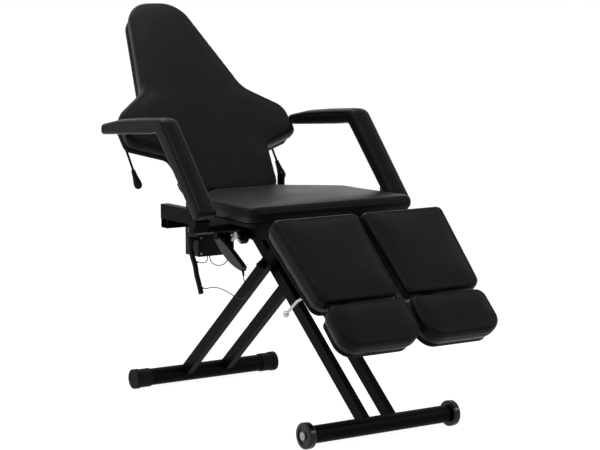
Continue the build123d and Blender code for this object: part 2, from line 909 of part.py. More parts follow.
def back_arm():
    """A side arm from the hinge to the lower cross tube of the back frame."""
    start_x = rail_inner_x - ear_thickness - seating_clearance - back_arm_thickness
    end_x = start_x + back_arm_thickness
    corners = (
        (-back_barrel_radius, 0),
        (0, back_barrel_radius),
        (back_tube_start + back_tube_size, back_rear),
        (back_tube_start + back_tube_size, back_rear - back_cross_depth),
        (back_tube_start, back_rear - back_cross_depth),
        (0, -back_barrel_radius),
    )
    arm = prism(corners, start_x, end_x) + rod((0, 0), back_barrel_radius, start_x, end_x)
    hole = back_pin_radius + running_clearance
    return arm - rod((0, 0), hole, start_x - cut_overrun, end_x + cut_overrun)


def spring_head_ears():
    """Ears on the back frame that the upper eye of the gas spring lies between."""
    half_eye = spring_eye_width / 2 + spring_plate_gap
    head = (spring_head_along, -spring_head_depth)
    corners = (
        (back_tube_start, back_rear),
        (back_tube_start, back_rear - back_cross_depth),
        (spring_head_along, -spring_head_depth - spring_eye_radius),
        (spring_head_along + spring_eye_radius, -spring_head_depth),
        (spring_head_along + spring_eye_radius, back_rear),
    )
    ears = Part()
    for start_x in (spring_x - half_eye - spring_plate_thickness, spring_x + half_eye):
        ears += prism(corners, start_x, start_x + spring_plate_thickness)
        ears += rod(head, spring_eye_radius, start_x, start_x + spring_plate_thickness)
    return ears


def release_lugs():
    """Lugs on the long tubes of the back frame that carry the release bar."""
    axis = (release_bar_along, -release_bar_depth)
    lug = link(
        (release_bar_along, back_rear - back_tube_size), axis, release_lug_radius,
        back_tube_x, back_tube_x + release_lug_width,
    )
    lug -= block(
        back_tube_x, back_tube_x + release_lug_width,
        release_bar_along - back_tube_size, release_bar_along + back_tube_size,
        back_rear - back_tube_size, back_rear,
    )
    hole = release_bar_radius + running_clearance
    return lug - rod(axis, hole, back_tube_x - cut_overrun, back_tube_x + release_lug_width + cut_overrun)


def back_frame():
    """Welded tubes behind the board with the hinge arms."""
    low = back_rear - back_tube_size
    arm_x = rail_inner_x - ear_thickness - seating_clearance - back_arm_thickness
    long_tube = box_tube(
        back_tube_x, back_tube_x + back_tube_size, back_tube_start + back_tube_size,
        back_tube_end - back_tube_size, low, back_rear, back_tube_wall, "Y",
    )
    side = long_tube + release_lugs() + back_arm()
    lower_end = back_tube_start + back_tube_size
    lower = block(-arm_x, arm_x, back_tube_start, lower_end, back_rear - back_cross_depth, back_rear)
    upper_x = back_tube_x + back_tube_size
    upper_start = back_tube_end - back_tube_size
    upper = box_tube(-upper_x, upper_x, upper_start, back_tube_end, low, back_rear, back_tube_wall, "X")
    frame = lower + upper + side + mirror(side, about=Plane.YZ) + spring_head_ears()
    return back_place * frame


def release_bar():
    """A cross bar with a rod down each side to its grip."""
    axis = (release_bar_along, -release_bar_depth)
    bar = rod(axis, release_bar_radius, -release_bar_half_length, release_bar_half_length)
    drop = Vector(0, -release_drop_along, -release_drop_depth)
    start = Vector(release_bar_half_length, *axis)
    down = Plane(origin=start, z_dir=drop) * Cylinder(
        release_rod_radius, drop.length, align=(Align.CENTER, Align.CENTER, Align.MIN)
    )
    corner = Pos(*start) * Sphere(release_bar_radius)
    side = down + corner
    return back_place * (bar + side + mirror(side, about=Plane.YZ))


def release_grips():
    """Moulded grips on the ends of the release rods."""
    axis = (release_bar_along, -release_bar_depth)
    drop = Vector(0, -release_drop_along, -release_drop_depth)
    start = Vector(release_bar_half_length, *axis) + drop * (1 - release_grip_length / drop.length / 2)
    bar_align = (Align.CENTER, Align.CENTER, Align.MIN)
    grip = Cylinder(release_grip_radius, release_grip_length, align=bar_align)
    grip = fillet(grip.edges().filter_by(GeomType.CIRCLE), release_grip_radius / 2)
    bore = release_rod_radius + running_clearance
    grip -= Cylinder(bore, release_grip_length / 2, align=bar_align)
    placed = Plane(origin=start, z_dir=drop) * grip
    return both_sides(back_place * placed)


def spring_head():
    """The (y, z) place of the upper spring pivot with the backrest as drawn."""
    turn = radians(back_slope)
    along = spring_head_along
    depth = spring_head_depth
    head_y = back_hinge_y + along * cos(turn) + depth * sin(turn)
    head_z = back_hinge_z + along * sin(turn) - depth * cos(turn)
    return (head_y, head_z)


def strut_place(start, end, x_place):
    """A frame at a (y, z) point whose Y axis points to another (y, z) point."""
    angle = degrees(atan2(end[1] - start[1], end[0] - start[0]))
    return Pos(x_place, start[0], start[1]) * Rot(angle, 0, 0)


def bar_along_y(radius, y_start, y_end):
    """A round bar along the local Y axis."""
    bar = Cylinder(radius, y_end - y_start, align=(Align.CENTER, Align.CENTER, Align.MIN))
    return Pos(0, y_start, 0) * Rot(-90, 0, 0) * bar


def spring_length():
    head = spring_head()
    return hypot(head[0] - spring_foot_y, head[1] - spring_foot_z)


def back_spring_cylinder():
    """The pressure tube, open at its upper end for the rod."""
    half = spring_eye_width / 2
    tube = bar_along_y(spring_cylinder_radius, 0, spring_cylinder_length)
    bore = spring_rod_radius + running_clearance
    tube -= bar_along_y(bore, spring_eye_radius + spring_plate_radius, spring_cylinder_length)
    tube += rod((0, 0), spring_eye_radius, -half, half)
    hole = spring_pin_radius + running_clearance
    tube -= rod((0, 0), hole, -half - cut_overrun, half + cut_overrun)
    return strut_place(spring_foot, spring_head(), spring_x) * tube


def back_spring_rod():
    """The piston rod with its eye."""
    half = spring_eye_width / 2
    start = spring_length() - spring_rod_length()
    piece = bar_along_y(spring_rod_radius, start, spring_length())
    piece += rod((spring_length(), 0), spring_eye_radius, -half, half)
    hole = rod((spring_length(), 0), spring_pin_radius, -half - cut_overrun, half + cut_overrun)
    return strut_place(spring_foot, spring_head(), spring_x) * (piece - hole)


def spring_rod_length():
    """As long as the rod can be and still go home with the backrest flat."""
    return spring_cylinder_length


# Lift actuator

def actuator_length():
    return hypot(lever_pin_y - actuator_rear_y, lever_pin_z - actuator_rear_z)


def actuator_housing():
    """Drive housing with the motor beside it and an eye at the rear."""
    half = actuator_eye_width / 2
    body_end = actuator_neck + actuator_body_length
    body = bar_along_y(actuator_radius, actuator_neck, body_end)
    body += bar_along_y(half, 0, actuator_neck)
    motor_x = actuator_radius + actuator_motor_radius - actuator_motor_overlap
    motor = Pos(motor_x, 0, 0) * bar_along_y(
        actuator_motor_radius, actuator_neck, actuator_neck + actuator_motor_length
    )
    gear = block(
        0, motor_x, actuator_neck, actuator_neck + actuator_radius,
        -actuator_gear_half_height, actuator_gear_half_height,
    )
    body += motor + gear
    body += rod((0, 0), actuator_eye_radius, -half, half)
    hole = actuator_pin_radius + running_clearance
    body -= rod((0, 0), hole, -half - cut_overrun, half + cut_overrun)
    bore = actuator_rod_radius + running_clearance
    body -= bar_along_y(bore, actuator_neck + actuator_radius, body_end)
    return strut_place(actuator_rear, lever_pin, 0) * body


def actuator_rod():
    """The push rod with a fork round the lever."""
    length = actuator_length()
    fork_start = length - fork_length
    rod_start = actuator_neck + actuator_radius + lever_half_depth
    inner_x = lever_thickness / 2 + fork_plate_gap
    outer_x = inner_x + fork_plate_thickness
    piece = bar_along_y(actuator_rod_radius, rod_start, fork_start)
    cheek = link((fork_start, 0), (length, 0), fork_radius, inner_x, outer_x)
    cheek -= block(
        0, outer_x, fork_start - fork_radius, fork_start, -fork_radius, fork_radius
    )
    cheek -= rod((length, 0), fork_hole_radius, inner_x, outer_x)
    piece += cheek + mirror(cheek, about=Plane.YZ)
    piece += block(
        -outer_x, outer_x, fork_start, fork_start + fork_plate_thickness, -fork_radius, fork_radius
    )
    return strut_place(actuator_rear, lever_pin, 0) * piece


# Control box, cables and handset

def control_box():
    """A hollow case with an open front, hung from the crossbar by a strap at each side."""
    shell = block(box_near_x, box_far_x, box_front_y, box_rear_y, box_bottom, box_top)
    shell = fillet(shell.edges().filter_by(Axis.Y), box_edge_radius)
    shell -= block(
        box_near_x + box_wall, box_far_x - box_wall, box_front_y - cut_overrun, box_rear_y - box_wall,
        box_bottom + box_wall, box_top - box_wall,
    )
    shell -= block(
        inlet_x - inlet_width / 2, inlet_x + inlet_width / 2, box_rear_y - box_wall, box_rear_y,
        inlet_z - inlet_height / 2, inlet_z + inlet_height / 2,
    )
    strap_top = crossbar_bottom
    for start_x in (box_near_x, box_far_x - hanger_thickness):
        strap_bottom = box_top - box_edge_radius
        shell += block(
            start_x, start_x + hanger_thickness, crossbar_front_y, box_rear_y, strap_bottom, strap_top
        )
    elbow = Pos(sleeve_x, elbow_y, elbow_top) * Cylinder(
        elbow_radius, elbow_height, align=(Align.CENTER, Align.CENTER, Align.MAX)
    )
    neck = rod((elbow_y, elbow_top - elbow_radius), elbow_radius / 2, sleeve_x, box_near_x)
    return shell + elbow + neck


def control_box_lid():
    """The front cover of the case, with four screws in it."""
    lid = block(
        box_near_x, box_far_x, box_front_y - box_lid_thickness, box_front_y, box_bottom, box_top
    )
    return fillet(lid.edges().filter_by(Axis.Y), box_edge_radius)


def box_screws():
    screws = []
    turned = Rot(90, 0, 0)
    for x_place in (box_near_x + box_screw_inset, box_far_x - box_screw_inset):
        for z_place in (box_bottom + box_screw_inset, box_top - box_screw_inset):
            head = Cylinder(box_screw_radius, box_screw_height, align=(Align.CENTER, Align.CENTER, Align.MIN))
            place = Pos(x_place, box_front_y - box_lid_thickness, z_place)
            screws += list((place * turned * head).solids())
    return Compound(screws)


def mains_inlet():
    """The recessed socket in the rear face of the case."""
    face_y = box_rear_y
    outer = block(
        inlet_x - inlet_width / 2 - inlet_border, inlet_x + inlet_width / 2 + inlet_border,
        face_y, face_y + inlet_border,
        inlet_z - inlet_height / 2 - inlet_border, inlet_z + inlet_height / 2 + inlet_border,
    )
    gap = running_clearance
    outer += block(
        inlet_x - inlet_width / 2 + gap, inlet_x + inlet_width / 2 - gap,
        face_y - inlet_depth - inlet_border, face_y,
        inlet_z - inlet_height / 2 + gap, inlet_z + inlet_height / 2 - gap,
    )
    return outer - block(
        inlet_x - inlet_width / 2 + inlet_border, inlet_x + inlet_width / 2 - inlet_border,
        face_y - inlet_recess, face_y + inlet_border,
        inlet_z - inlet_height / 2 + inlet_border, inlet_z + inlet_height / 2 - inlet_border,
    )


def handset_outline():
    """A lens with blunt ends in the (y, z) plane."""
    top = Vector(handset_top_y, handset_top_z)
    foot = Vector(handset_bottom_y, handset_bottom_z)
    along = (foot - top).normalized()
    across = Vector(along.Y, -along.X)
    end_half = across * handset_end_half_width
    middle = (top + foot) / 2
    low = ThreePointArc(top - end_half, middle - across * handset_belly, foot - end_half)
    high = ThreePointArc(foot + end_half, middle + across * handset_brow, top + end_half)
    edges = [low, Line(foot - end_half, foot + end_half), high, Line(top + end_half, top - end_half)]
    return make_face(Wire(edges))


def handset_slab(x_start, x_end):
    return Pos(x_start, 0, 0) * extrude(Plane.YZ * handset_outline(), x_end - x_start)


handset_seam_x = handset_back_x + handset_thickness - handset_face_thickness
handset_front_x = handset_back_x + handset_thickness


def button_point(share):
    """The (y, z) place of a button along the middle of the handset."""
    place_y = handset_top_y + (handset_bottom_y - handset_top_y) * share
    place_z = handset_top_z + (handset_bottom_z - handset_top_z) * share
    return (place_y, place_z)


def button_well(share):
    """The space that a button moves in."""
    start_x = handset_seam_x - button_travel - seating_clearance
    return rod(button_point(share), button_radius + running_clearance, start_x, handset_front_x)


def handset_shell():
    """The grey back half with wells behind the buttons and the cord's relief hole."""
    shell = handset_slab(handset_back_x, handset_seam_x)
    shell = fillet(shell.faces().sort_by(Axis.X)[0].edges(), handset_edge_radius)
    for share in button_share:
        shell -= button_well(share)
    return shell


def handset_face():
    face = handset_slab(handset_seam_x, handset_front_x)
    for share in button_share:
        face -= button_well(share)
    return face


def handset_button(share):
    """A round button that sinks into the handset."""
    end_x = handset_front_x + button_travel
    return rod(button_point(share), button_radius, end_x - button_height, end_x)


def handset_relief():
    """A tapered rubber relief from the handset to its cord."""
    end = Vector(*handset_cord_points[0])
    way = (Vector(*handset_cord_points[1]) - end).normalized()
    start = end - way * relief_length
    relief = Plane(origin=start, z_dir=way) * Cone(
        relief_radius, relief_tip_radius, relief_length, align=(Align.CENTER, Align.CENTER, Align.MIN)
    )
    return relief - handset_slab(handset_back_x, handset_front_x)


def handset_clip():
    """A bent plate under the near rail with a jaw on each side of the handset."""
    gap = seating_clearance
    jaw_bottom = rail_bottom - clip_drop
    near_x = handset_back_x - gap - clip_thickness
    far_x = handset_front_x + gap
    front_y = handset_top_y - clip_length
    rear_y = handset_top_y
    plate_bottom = rail_bottom - clip_thickness
    plate = block(-rail_outer_x, far_x + clip_thickness, front_y, rear_y, plate_bottom, rail_bottom)
    plate += block(near_x, near_x + clip_thickness, front_y, rear_y, jaw_bottom, rail_bottom)
    return plate + block(far_x, far_x + clip_thickness, front_y, rear_y, jaw_bottom, rail_bottom)


def grommet(tip, toward):
    """A short boss on the sleeve that a thin cable starts from."""
    way = (Vector(*toward) - Vector(*tip)).normalized()
    length = sleeve_radius + grommet_length
    start = Vector(*tip) - way * length
    boss = Cylinder(grommet_radius, length, align=(Align.CENTER, Align.CENTER, Align.MIN))
    return Plane(origin=start, z_dir=way) * boss


def cable_sleeve():
    """The sleeve that bundles the cables, with a grommet for each thin cable."""
    sleeve = tube_path(sleeve_points, sleeve_radius, "cable_sleeve")
    sleeve += grommet(link_cable_points[0], link_cable_points[1])
    return sleeve + grommet(handset_cord_points[-1], handset_cord_points[-2])


# Armrests

def arm_point(share):
    return (arm_tail_y - arm_length * share[0], arm_base_z + arm_height * share[1])


def arm_section(x_place, lower_lift, upper_height):
    """One closed (y, z) outline of the armrest at a place across its width."""
    upper = []
    lower = []
    for high_share, low_share in zip(arm_upper_share, arm_lower_share):
        high = arm_point(high_share)
        low = arm_point(low_share)
        upper.append(tuple(b + (t - b) * upper_height for t, b in zip(high, low)))
        lower.append(tuple(b + (t - b) * lower_lift for t, b in zip(high, low)))
    places = [(x_place, *place) for place in upper + lower[:1:-1] + lower[:1]]
    radii = [
        arm_tail_radius * upper_height,
        arm_sweep_radius,
        arm_sweep_radius,
        arm_elbow_radius,
        arm_foot_radius,
        arm_foot_radius,
        arm_bend_radius,
        arm_sweep_radius,
        arm_tail_radius * upper_height,
    ]
    return FilletPolyline(*places, radius=radii, close=True)


def arm_cushion():
    sections = []
    for place_share, lift_share, height_share in arm_section_share:
        sections.append(arm_section(arm_inner_x + arm_width * place_share, lift_share, height_share))
    return Solid.make_loft(sections, True)


def arm_bracket():
    """An eye on the rail's pin, a beam out to the armrest and a flat bar up its upright."""
    foot = arm_point(arm_lower_share[-1])
    elbow = arm_point(arm_lower_share[-2])
    run = hypot(elbow[0] - foot[0], elbow[1] - foot[1])
    way = ((elbow[0] - foot[0]) / run, (elbow[1] - foot[1]) / run)
    away = (way[1], -way[0])
    gap = seating_clearance
    near = [(foot[0] + away[0] * gap, foot[1] + away[1] * gap)]
    near.append((near[0][0] + way[0] * arm_bar_rise, near[0][1] + way[1] * arm_bar_rise))
    far = (near[1][0] + away[0] * arm_bar_thickness, near[1][1] + away[1] * arm_bar_thickness)
    corners = (
        near[0],
        near[1],
        far,
        (arm_beam_rear_y, arm_beam_top),
        (arm_beam_rear_y, arm_beam_bottom),
        (arm_beam_front_y, arm_beam_bottom),
    )
    bar_end_x = arm_bar_x + arm_bar_width
    bracket = prism(corners, arm_bar_x, bar_end_x)
    eye_x = arm_hub_face_x + seating_clearance
    bracket += block(
        eye_x, bar_end_x, arm_beam_front_y, arm_beam_rear_y, arm_beam_bottom, arm_beam_top
    )
    beam_centre = ((arm_beam_front_y + arm_beam_rear_y) / 2, (arm_beam_bottom + arm_beam_top) / 2)
    bracket += link(arm_pivot, beam_centre, arm_eye_radius, eye_x, arm_eye_face_x)
    hole = arm_pivot_radius + running_clearance
    return bracket - rod(arm_pivot, hole, eye_x - cut_overrun, arm_eye_face_x + cut_overrun)


def arm_wing_bolts():
    """A boss with two wings on the end of each armrest pin."""
    start_x = arm_eye_face_x + seating_clearance
    end_x = start_x + wing_boss_length
    bolt = rod(arm_pivot, wing_boss_radius, start_x, end_x)
    for reach in (-wing_reach, wing_reach):
        tip = (arm_pivot_y + reach, arm_pivot_z - wing_drop)
        bolt += link(arm_pivot, tip, wing_radius, end_x - wing_thickness, end_x)
    return both_sides(bolt)


arm_bar_x = arm_inner_x + (arm_width - arm_bar_width) / 2
arm_hub_face_x = rail_outer_x + arm_hub_thickness
arm_eye_face_x = arm_hub_face_x + seating_clearance + arm_eye_thickness


# Leg rests and foot rests, drawn in the frames of their hinges

leg_place = Pos(0, leg_pivot_y, leg_pivot_z) * Rot(leg_slope, 0, 0)


def calf_corners():
    lower = calf_upper_end - calf_length
    return (
        (calf_upper_inner_x, calf_upper_end),
        (calf_lower_inner_x, lower),
        (calf_lower_outer_x, lower),
        (calf_upper_outer_x, calf_upper_end),
    )


def calf_radii():
    return (calf_corner_radius, calf_corner_radius, calf_lower_corner_radius, calf_corner_radius)


def calf_cushion():
    """The calf pad with its board moulded into the underside."""
    bottom = calf_bottom + board_thickness
    return leg_place * cushion(calf_corners(), calf_radii(), bottom, calf_top, calf_edge_radius, calf_crown)


def calf_frame():
    """Board, centre tube, cross tube, web and hinge barrel of one leg rest."""
    half = calf_tube_size / 2
    inner_x = leg_centre_x - half
    outer_x = leg_centre_x + half
    plate = board(calf_corners(), calf_radii(), board_inset, calf_bottom, calf_bottom + board_thickness)
    tube = box_tube(
        inner_x, outer_x, calf_tube_lower, calf_tube_upper,
        calf_bottom - calf_tube_size, calf_bottom, calf_tube_wall, "Y",
    )
    frame = plate + tube
    cross_half = calf_cross_width / 2
    for start_x, end_x in ((leg_centre_x - calf_cross_half_length, inner_x),
                           (outer_x, leg_centre_x + calf_cross_half_length)):
        frame += block(
            start_x, end_x, calf_cross_along - cross_half, calf_cross_along + cross_half,
            calf_bottom - calf_cross_width, calf_bottom,
        )
    half_web = calf_web_thickness / 2
    web = block(
        leg_centre_x - half_web, leg_centre_x + half_web, -calf_web_half_depth, calf_web_half_depth,
        0, calf_bottom - calf_tube_size,
    )
    frame += web + rod((0, 0), leg_barrel_radius, inner_x, outer_x)
    hole = leg_pin_radius + running_clearance
    frame -= rod((0, 0), hole, inner_x - cut_overrun, outer_x + cut_overrun)
    clamp = (lever_along, calf_tube_centre)
    frame += rod(clamp, clamp_boss_radius, outer_x, outer_x + clamp_boss_length)
    shank = clamp_rod_radius + running_clearance
    frame -= rod(clamp, shank, outer_x - calf_tube_wall, outer_x + clamp_boss_length)
    return leg_place * frame


def foot_slider():
    """A square bar that slides in the centre tube, with an eye at its lower end."""
    half = slider_size / 2
    bar = block(
        leg_centre_x - half, leg_centre_x + half, foot_pivot_along, slider_inner_end,
        calf_tube_centre - half, calf_tube_centre + half,
    )
    eye = (foot_pivot_along, calf_tube_centre)
    bar += rod(eye, foot_eye_radius, leg_centre_x - half, leg_centre_x + half)
    hole = foot_pin_radius + running_clearance
    bar -= rod(eye, hole, leg_centre_x - half - cut_overrun, leg_centre_x + half + cut_overrun)
    return leg_place * bar


def foot_pivot():
    """The (y, z) place of the foot hinge."""
    turn = radians(leg_slope)
    pivot_y = leg_pivot_y + foot_pivot_along * cos(turn) - calf_tube_centre * sin(turn)
    pivot_z = leg_pivot_z + foot_pivot_along * sin(turn) + calf_tube_centre * cos(turn)
    return (pivot_y, pivot_z)


foot_place = Pos(0, *foot_pivot()) * Rot(foot_slope, 0, 0)


def foot_corners():
    front = foot_rear - foot_length
    return (
        (foot_inner_x, foot_rear),
        (foot_inner_x, front),
        (foot_outer_x, front),
        (foot_outer_x, foot_rear),
    )


def foot_radii():
    return (foot_rear_radius, foot_front_radius, foot_front_radius, foot_rear_radius)


def foot_cushion():
    bottom = foot_bottom + board_thickness
    pad = cushion(foot_corners(), foot_radii(), bottom, foot_top, foot_edge_radius, foot_crown)
    return foot_place * pad


def foot_frame():
    """Board of the foot rest with two plates and the hinge pin."""
    plate = board(foot_corners(), foot_radii(), board_inset, foot_bottom, foot_bottom + board_thickness)
    half = slider_size / 2 + seating_clearance
    corners = (
        (foot_eye_radius, 0),
        (0, -foot_eye_radius),
        (foot_plate_front, foot_bottom),
        (foot_eye_radius, foot_bottom),
    )
    for start_x in (leg_centre_x - half - foot_plate_thickness, leg_centre_x + half):
        end_x = start_x + foot_plate_thickness
        plate += prism(corners, start_x, end_x) + rod((0, 0), foot_eye_radius, start_x, end_x)
    pin = rod((0, 0), foot_pin_radius, leg_centre_x - half, leg_centre_x + half)
    return foot_place * (plate + pin)


def clamp_lever():
    """A bent chrome rod with a ball at its end, screwed into the clamp boss."""
    start_x = leg_centre_x + slider_size / 2 + seating_clearance
    corner = (clamp_reach_x, lever_along, calf_tube_centre)
    tip = (clamp_reach_x + clamp_tip_shift, lever_along + clamp_tip_shift, calf_tube_centre - clamp_drop)
    start = (start_x, lever_along, calf_tube_centre)
    path = FilletPolyline(start, corner, tip, radius=clamp_bend_radius)
    section = Plane(origin=start, z_dir=(1, 0, 0)) * Circle(clamp_rod_radius)
    lever = sweep(section, path=path) + Pos(*tip) * Sphere(clamp_knob_radius)
    return leg_place * lever


# All nodes of the chair

nodes = {
    "rear_caps": rear_caps(),
    "rear_tube": rear_tube(),
    "outer_legs": outer_legs(),
    "scissor_axle": scissor_axle(),
    "roller_axle": roller_axle(),
    "rollers": rollers(),
    "front_tube": front_tube(),
    "inner_legs": inner_legs(),
    "pivot_tube": pivot_tube(),
    "wheel_bolts": wheel_bolts(),
    "side_rails": side_rails(),
    "rail_plugs": rail_plugs(),
    "seat_cross_tubes": seat_cross_tubes(),
    "rear_crossbar": rear_crossbar(),
    "lift_hinge_pin": lift_hinge_pin(),
    "roller_tracks": roller_tracks(),
    "arm_wing_bolts": arm_wing_bolts(),
    "seat_board": seat_board(),
    "seat_cushion": seat_cushion(),
    "control_box": control_box(),
    "control_box_lid": control_box_lid(),
    "box_screws": box_screws(),
    "mains_inlet": mains_inlet(),
    "handset_clip": handset_clip(),
    "handset_shell": handset_shell(),
    "handset_face": handset_face(),
    "handset_relief": handset_relief(),
    "button_up": handset_button(button_share[0]),
    "button_down": handset_button(button_share[1]),
    "cable_sleeve": cable_sleeve(),
    "actuator_housing": actuator_housing(),
    "actuator_rod": actuator_rod(),
    "back_cushion": back_cushion(),
    "back_board": back_board(),
    "back_frame": back_frame(),
    "back_spring_cylinder": back_spring_cylinder(),
    "back_spring_rod": back_spring_rod(),
    "release_bar": release_bar(),
    "release_grips": release_grips(),
}

paired = {
    "wheel": wheel(),
    "arm_cushion": arm_cushion(),
    "arm_bracket": arm_bracket(),
    "calf_cushion": calf_cushion(),
    "calf_frame": calf_frame(),
    "foot_slider": foot_slider(),
    "foot_cushion": foot_cushion(),
    "foot_frame": foot_frame(),
    "clamp_lever": clamp_lever(),
}

for name, shape in paired.items():
    nodes[name + "_left"] = shape
    nodes[name + "_right"] = mirror(shape, about=Plane.YZ)

cords = {
    "handset_cord": handset_cord_points,
    "link_cable": link_cable_points,
    "loop_cable": loop_cable_points,
}

boxes = [shape.bounding_box() for shape in nodes.values()]
rear_most = max(box.max.Y for box in boxes)
front_most = min(box.min.Y for box in boxes)
centre_shift = -(rear_most + front_most) / 2

for name, points in cords.items():
    nodes[name] = tube_path(points, cable_radius, name)

os.makedirs("parts", exist_ok=True)
for name, shape in nodes.items():
    export_step(Pos(0, centre_shift, 0) * shape, "parts/" + name + ".step")

print("shift along Y", round(centre_shift, 3))
joint_places = {
    "rear_axis": rear_axis,
    "pivot": pivot,
    "wheel_axis": wheel_axis,
    "roller_axis": roller_axis,
    "lift_hinge": lift_hinge,
    "back_hinge": (back_hinge_y, back_hinge_z),
    "spring_foot": spring_foot,
    "spring_head": spring_head(),
    "actuator_rear": actuator_rear,
    "lever_pin": lever_pin,
    "arm_pivot": arm_pivot,
    "leg_pivot": (leg_pivot_y, leg_pivot_z),
    "foot_pivot": foot_pivot(),
}
for name, (place_y, place_z) in joint_places.items():
    print(name, round(place_y + centre_shift, 3), round(place_z, 3))
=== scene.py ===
# %% [markdown]
# # A padded treatment chair, dressed for its photograph
# The chair is already built as a jointed model: tubes, boards, pins and plain pads, each on the
# body that it moves with. This script gives every one of those pieces the surface it has on the
# real chair, and sews the eight pads again as soft, swollen upholstery. Everything is in metres,
# in the same place as the model, so nothing has to be fitted: a piece goes where the model says.

from math import radians, tanh

import bmesh
import bpy
import numpy as np
from mathutils import Matrix, Vector
from mathutils.kdtree import KDTree


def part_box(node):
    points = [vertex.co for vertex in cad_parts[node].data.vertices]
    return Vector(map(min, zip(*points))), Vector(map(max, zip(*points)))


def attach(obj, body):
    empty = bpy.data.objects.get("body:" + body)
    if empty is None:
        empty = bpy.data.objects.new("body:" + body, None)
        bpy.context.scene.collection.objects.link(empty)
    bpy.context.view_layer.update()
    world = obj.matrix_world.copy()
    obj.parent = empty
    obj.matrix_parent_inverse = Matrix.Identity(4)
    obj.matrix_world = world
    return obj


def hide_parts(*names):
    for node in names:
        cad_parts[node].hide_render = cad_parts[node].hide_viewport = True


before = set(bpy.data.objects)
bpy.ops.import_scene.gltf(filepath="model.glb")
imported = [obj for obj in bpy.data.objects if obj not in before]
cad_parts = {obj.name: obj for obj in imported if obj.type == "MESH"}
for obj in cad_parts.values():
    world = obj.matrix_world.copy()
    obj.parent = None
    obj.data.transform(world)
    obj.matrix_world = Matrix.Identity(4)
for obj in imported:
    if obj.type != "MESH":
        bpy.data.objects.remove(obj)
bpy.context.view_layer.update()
scene = bpy.context.scene
print("pieces of the model:", len(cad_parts))

# %% [markdown]
# ## The camera
# The chair is seen from its front left, from a little above the seat and a good way off, which is
# why its long lines hardly run together. The lens and the place below come from matching eight
# corners of the real chair, such as the ends of both floor tubes, with their places in the picture.
# A camera that looks along its own minus Z is laid down by a turn about X and then swung about Z.

# %% Camera at the photograph's viewpoint
camera_data = bpy.data.cameras.new("photo_camera")
camera_data.sensor_fit = "HORIZONTAL"
camera_data.sensor_width = 36.0
camera_data.lens = 119.33
camera_data.clip_end = 500.0
camera = bpy.data.objects.new("photo_camera", camera_data)
camera_tilt_down = 7.52
camera_swing = -33.94
camera.location = (-3.55473, -5.433678, 1.45232)
camera.rotation_euler = (radians(90 - camera_tilt_down), 0.0, radians(camera_swing))
scene.collection.objects.link(camera)
scene.camera = camera
scene.view_settings.view_transform = "Standard"
print("camera stands", round(camera.location.length, 2), "m from the middle of the floor")

# %% [markdown]
# ## The three thin cables
# A cable is a fixed length of something that bends. Here it is a curve with a round section: its
# few control points pull a smooth line along, as fingers would, and the line never touches them
# except at its two ends. The order is set after the points exist, because before that there is
# nothing to smooth and the curve would stay a chain of straight runs. The thickness is set by the
# radius of each point, with a bevel of one, because a curve's box reaches that radius past its
# points. The handset's lead drops from the handset, turns in a loose loop and runs back under the
# seat to the sleeve that guides it. A short link joins the sleeve to the drive's box, and another
# short cable hangs under the box in a loop.

# %% Where each cable runs
cable_diameter = 0.0032
handset_route = (
    (-0.1450, -0.0378, 0.4430),
    (-0.1450, -0.0408, 0.4270),
    (-0.1430, -0.0578, 0.4100),
    (-0.1435, -0.0638, 0.3910),
    (-0.1440, -0.0478, 0.3740),
    (-0.1440, -0.0198, 0.3640),
    (-0.1435, 0.0142, 0.3660),
    (-0.1430, 0.0522, 0.3750),
    (-0.1425, 0.0942, 0.3810),
    (-0.1420, 0.1362, 0.3820),
    (-0.1410, 0.1762, 0.3760),
    (-0.1400, 0.2012, 0.3675),
    (-0.1400, 0.2272, 0.3670),
)
link_route = (
    (-0.1270, 0.2822, 0.4470),
    (-0.1100, 0.2882, 0.4430),
    (-0.0920, 0.2972, 0.4395),
    (-0.0770, 0.3047, 0.4410),
    (-0.0700, 0.3082, 0.4500),
    (-0.0700, 0.3082, 0.4630),
)
loop_route = (
    (-0.0620, 0.3082, 0.4630),
    (-0.0620, 0.3082, 0.4470),
    (-0.0510, 0.3067, 0.4320),
    (-0.0300, 0.3052, 0.4230),
    (-0.0080, 0.3057, 0.4260),
    (0.0070, 0.3072, 0.4360),
    (0.0130, 0.3082, 0.4490),
    (0.0130, 0.3082, 0.4630),
)


# %% Draw one cable as a smooth line with a round section
def draw_cable(name, route, node):
    line = bpy.data.curves.new(name, "CURVE")
    line.dimensions = "3D"
    spline = line.splines.new("NURBS")
    spline.points.add(len(route) - 1)
    for point, place in zip(spline.points, route):
        point.co = (*place, 1.0)
        point.radius = cable_diameter / 2
    spline.order_u = 3
    spline.use_endpoint_u = True
    spline.resolution_u = 10
    line.bevel_depth = 1.0
    line.bevel_resolution = 4
    line.use_fill_caps = True
    cable = bpy.data.objects.new(name, line)
    scene.collection.objects.link(cable)
    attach(cable, "lift_frame")
    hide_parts(node)
    print(name, "of", len(route), "points")
    return cable


# %% The handset's lead, the short link and the loop
cables = [
    draw_cable("handset_lead", handset_route, "handset_cord"),
    draw_cable("box_link_lead", link_route, "link_cable"),
    draw_cable("box_loop_lead", loop_route, "loop_cable"),
]

# %% [markdown]
# ## Shader sums written as Python
# A finish is a small drawing made of nodes, and most of its nodes are sums. Writing the sums as
# Python keeps them readable: the class below holds one output of a node, and the ordinary signs
# lay the Math nodes for it, also with the number on the left as in 1 - mask.


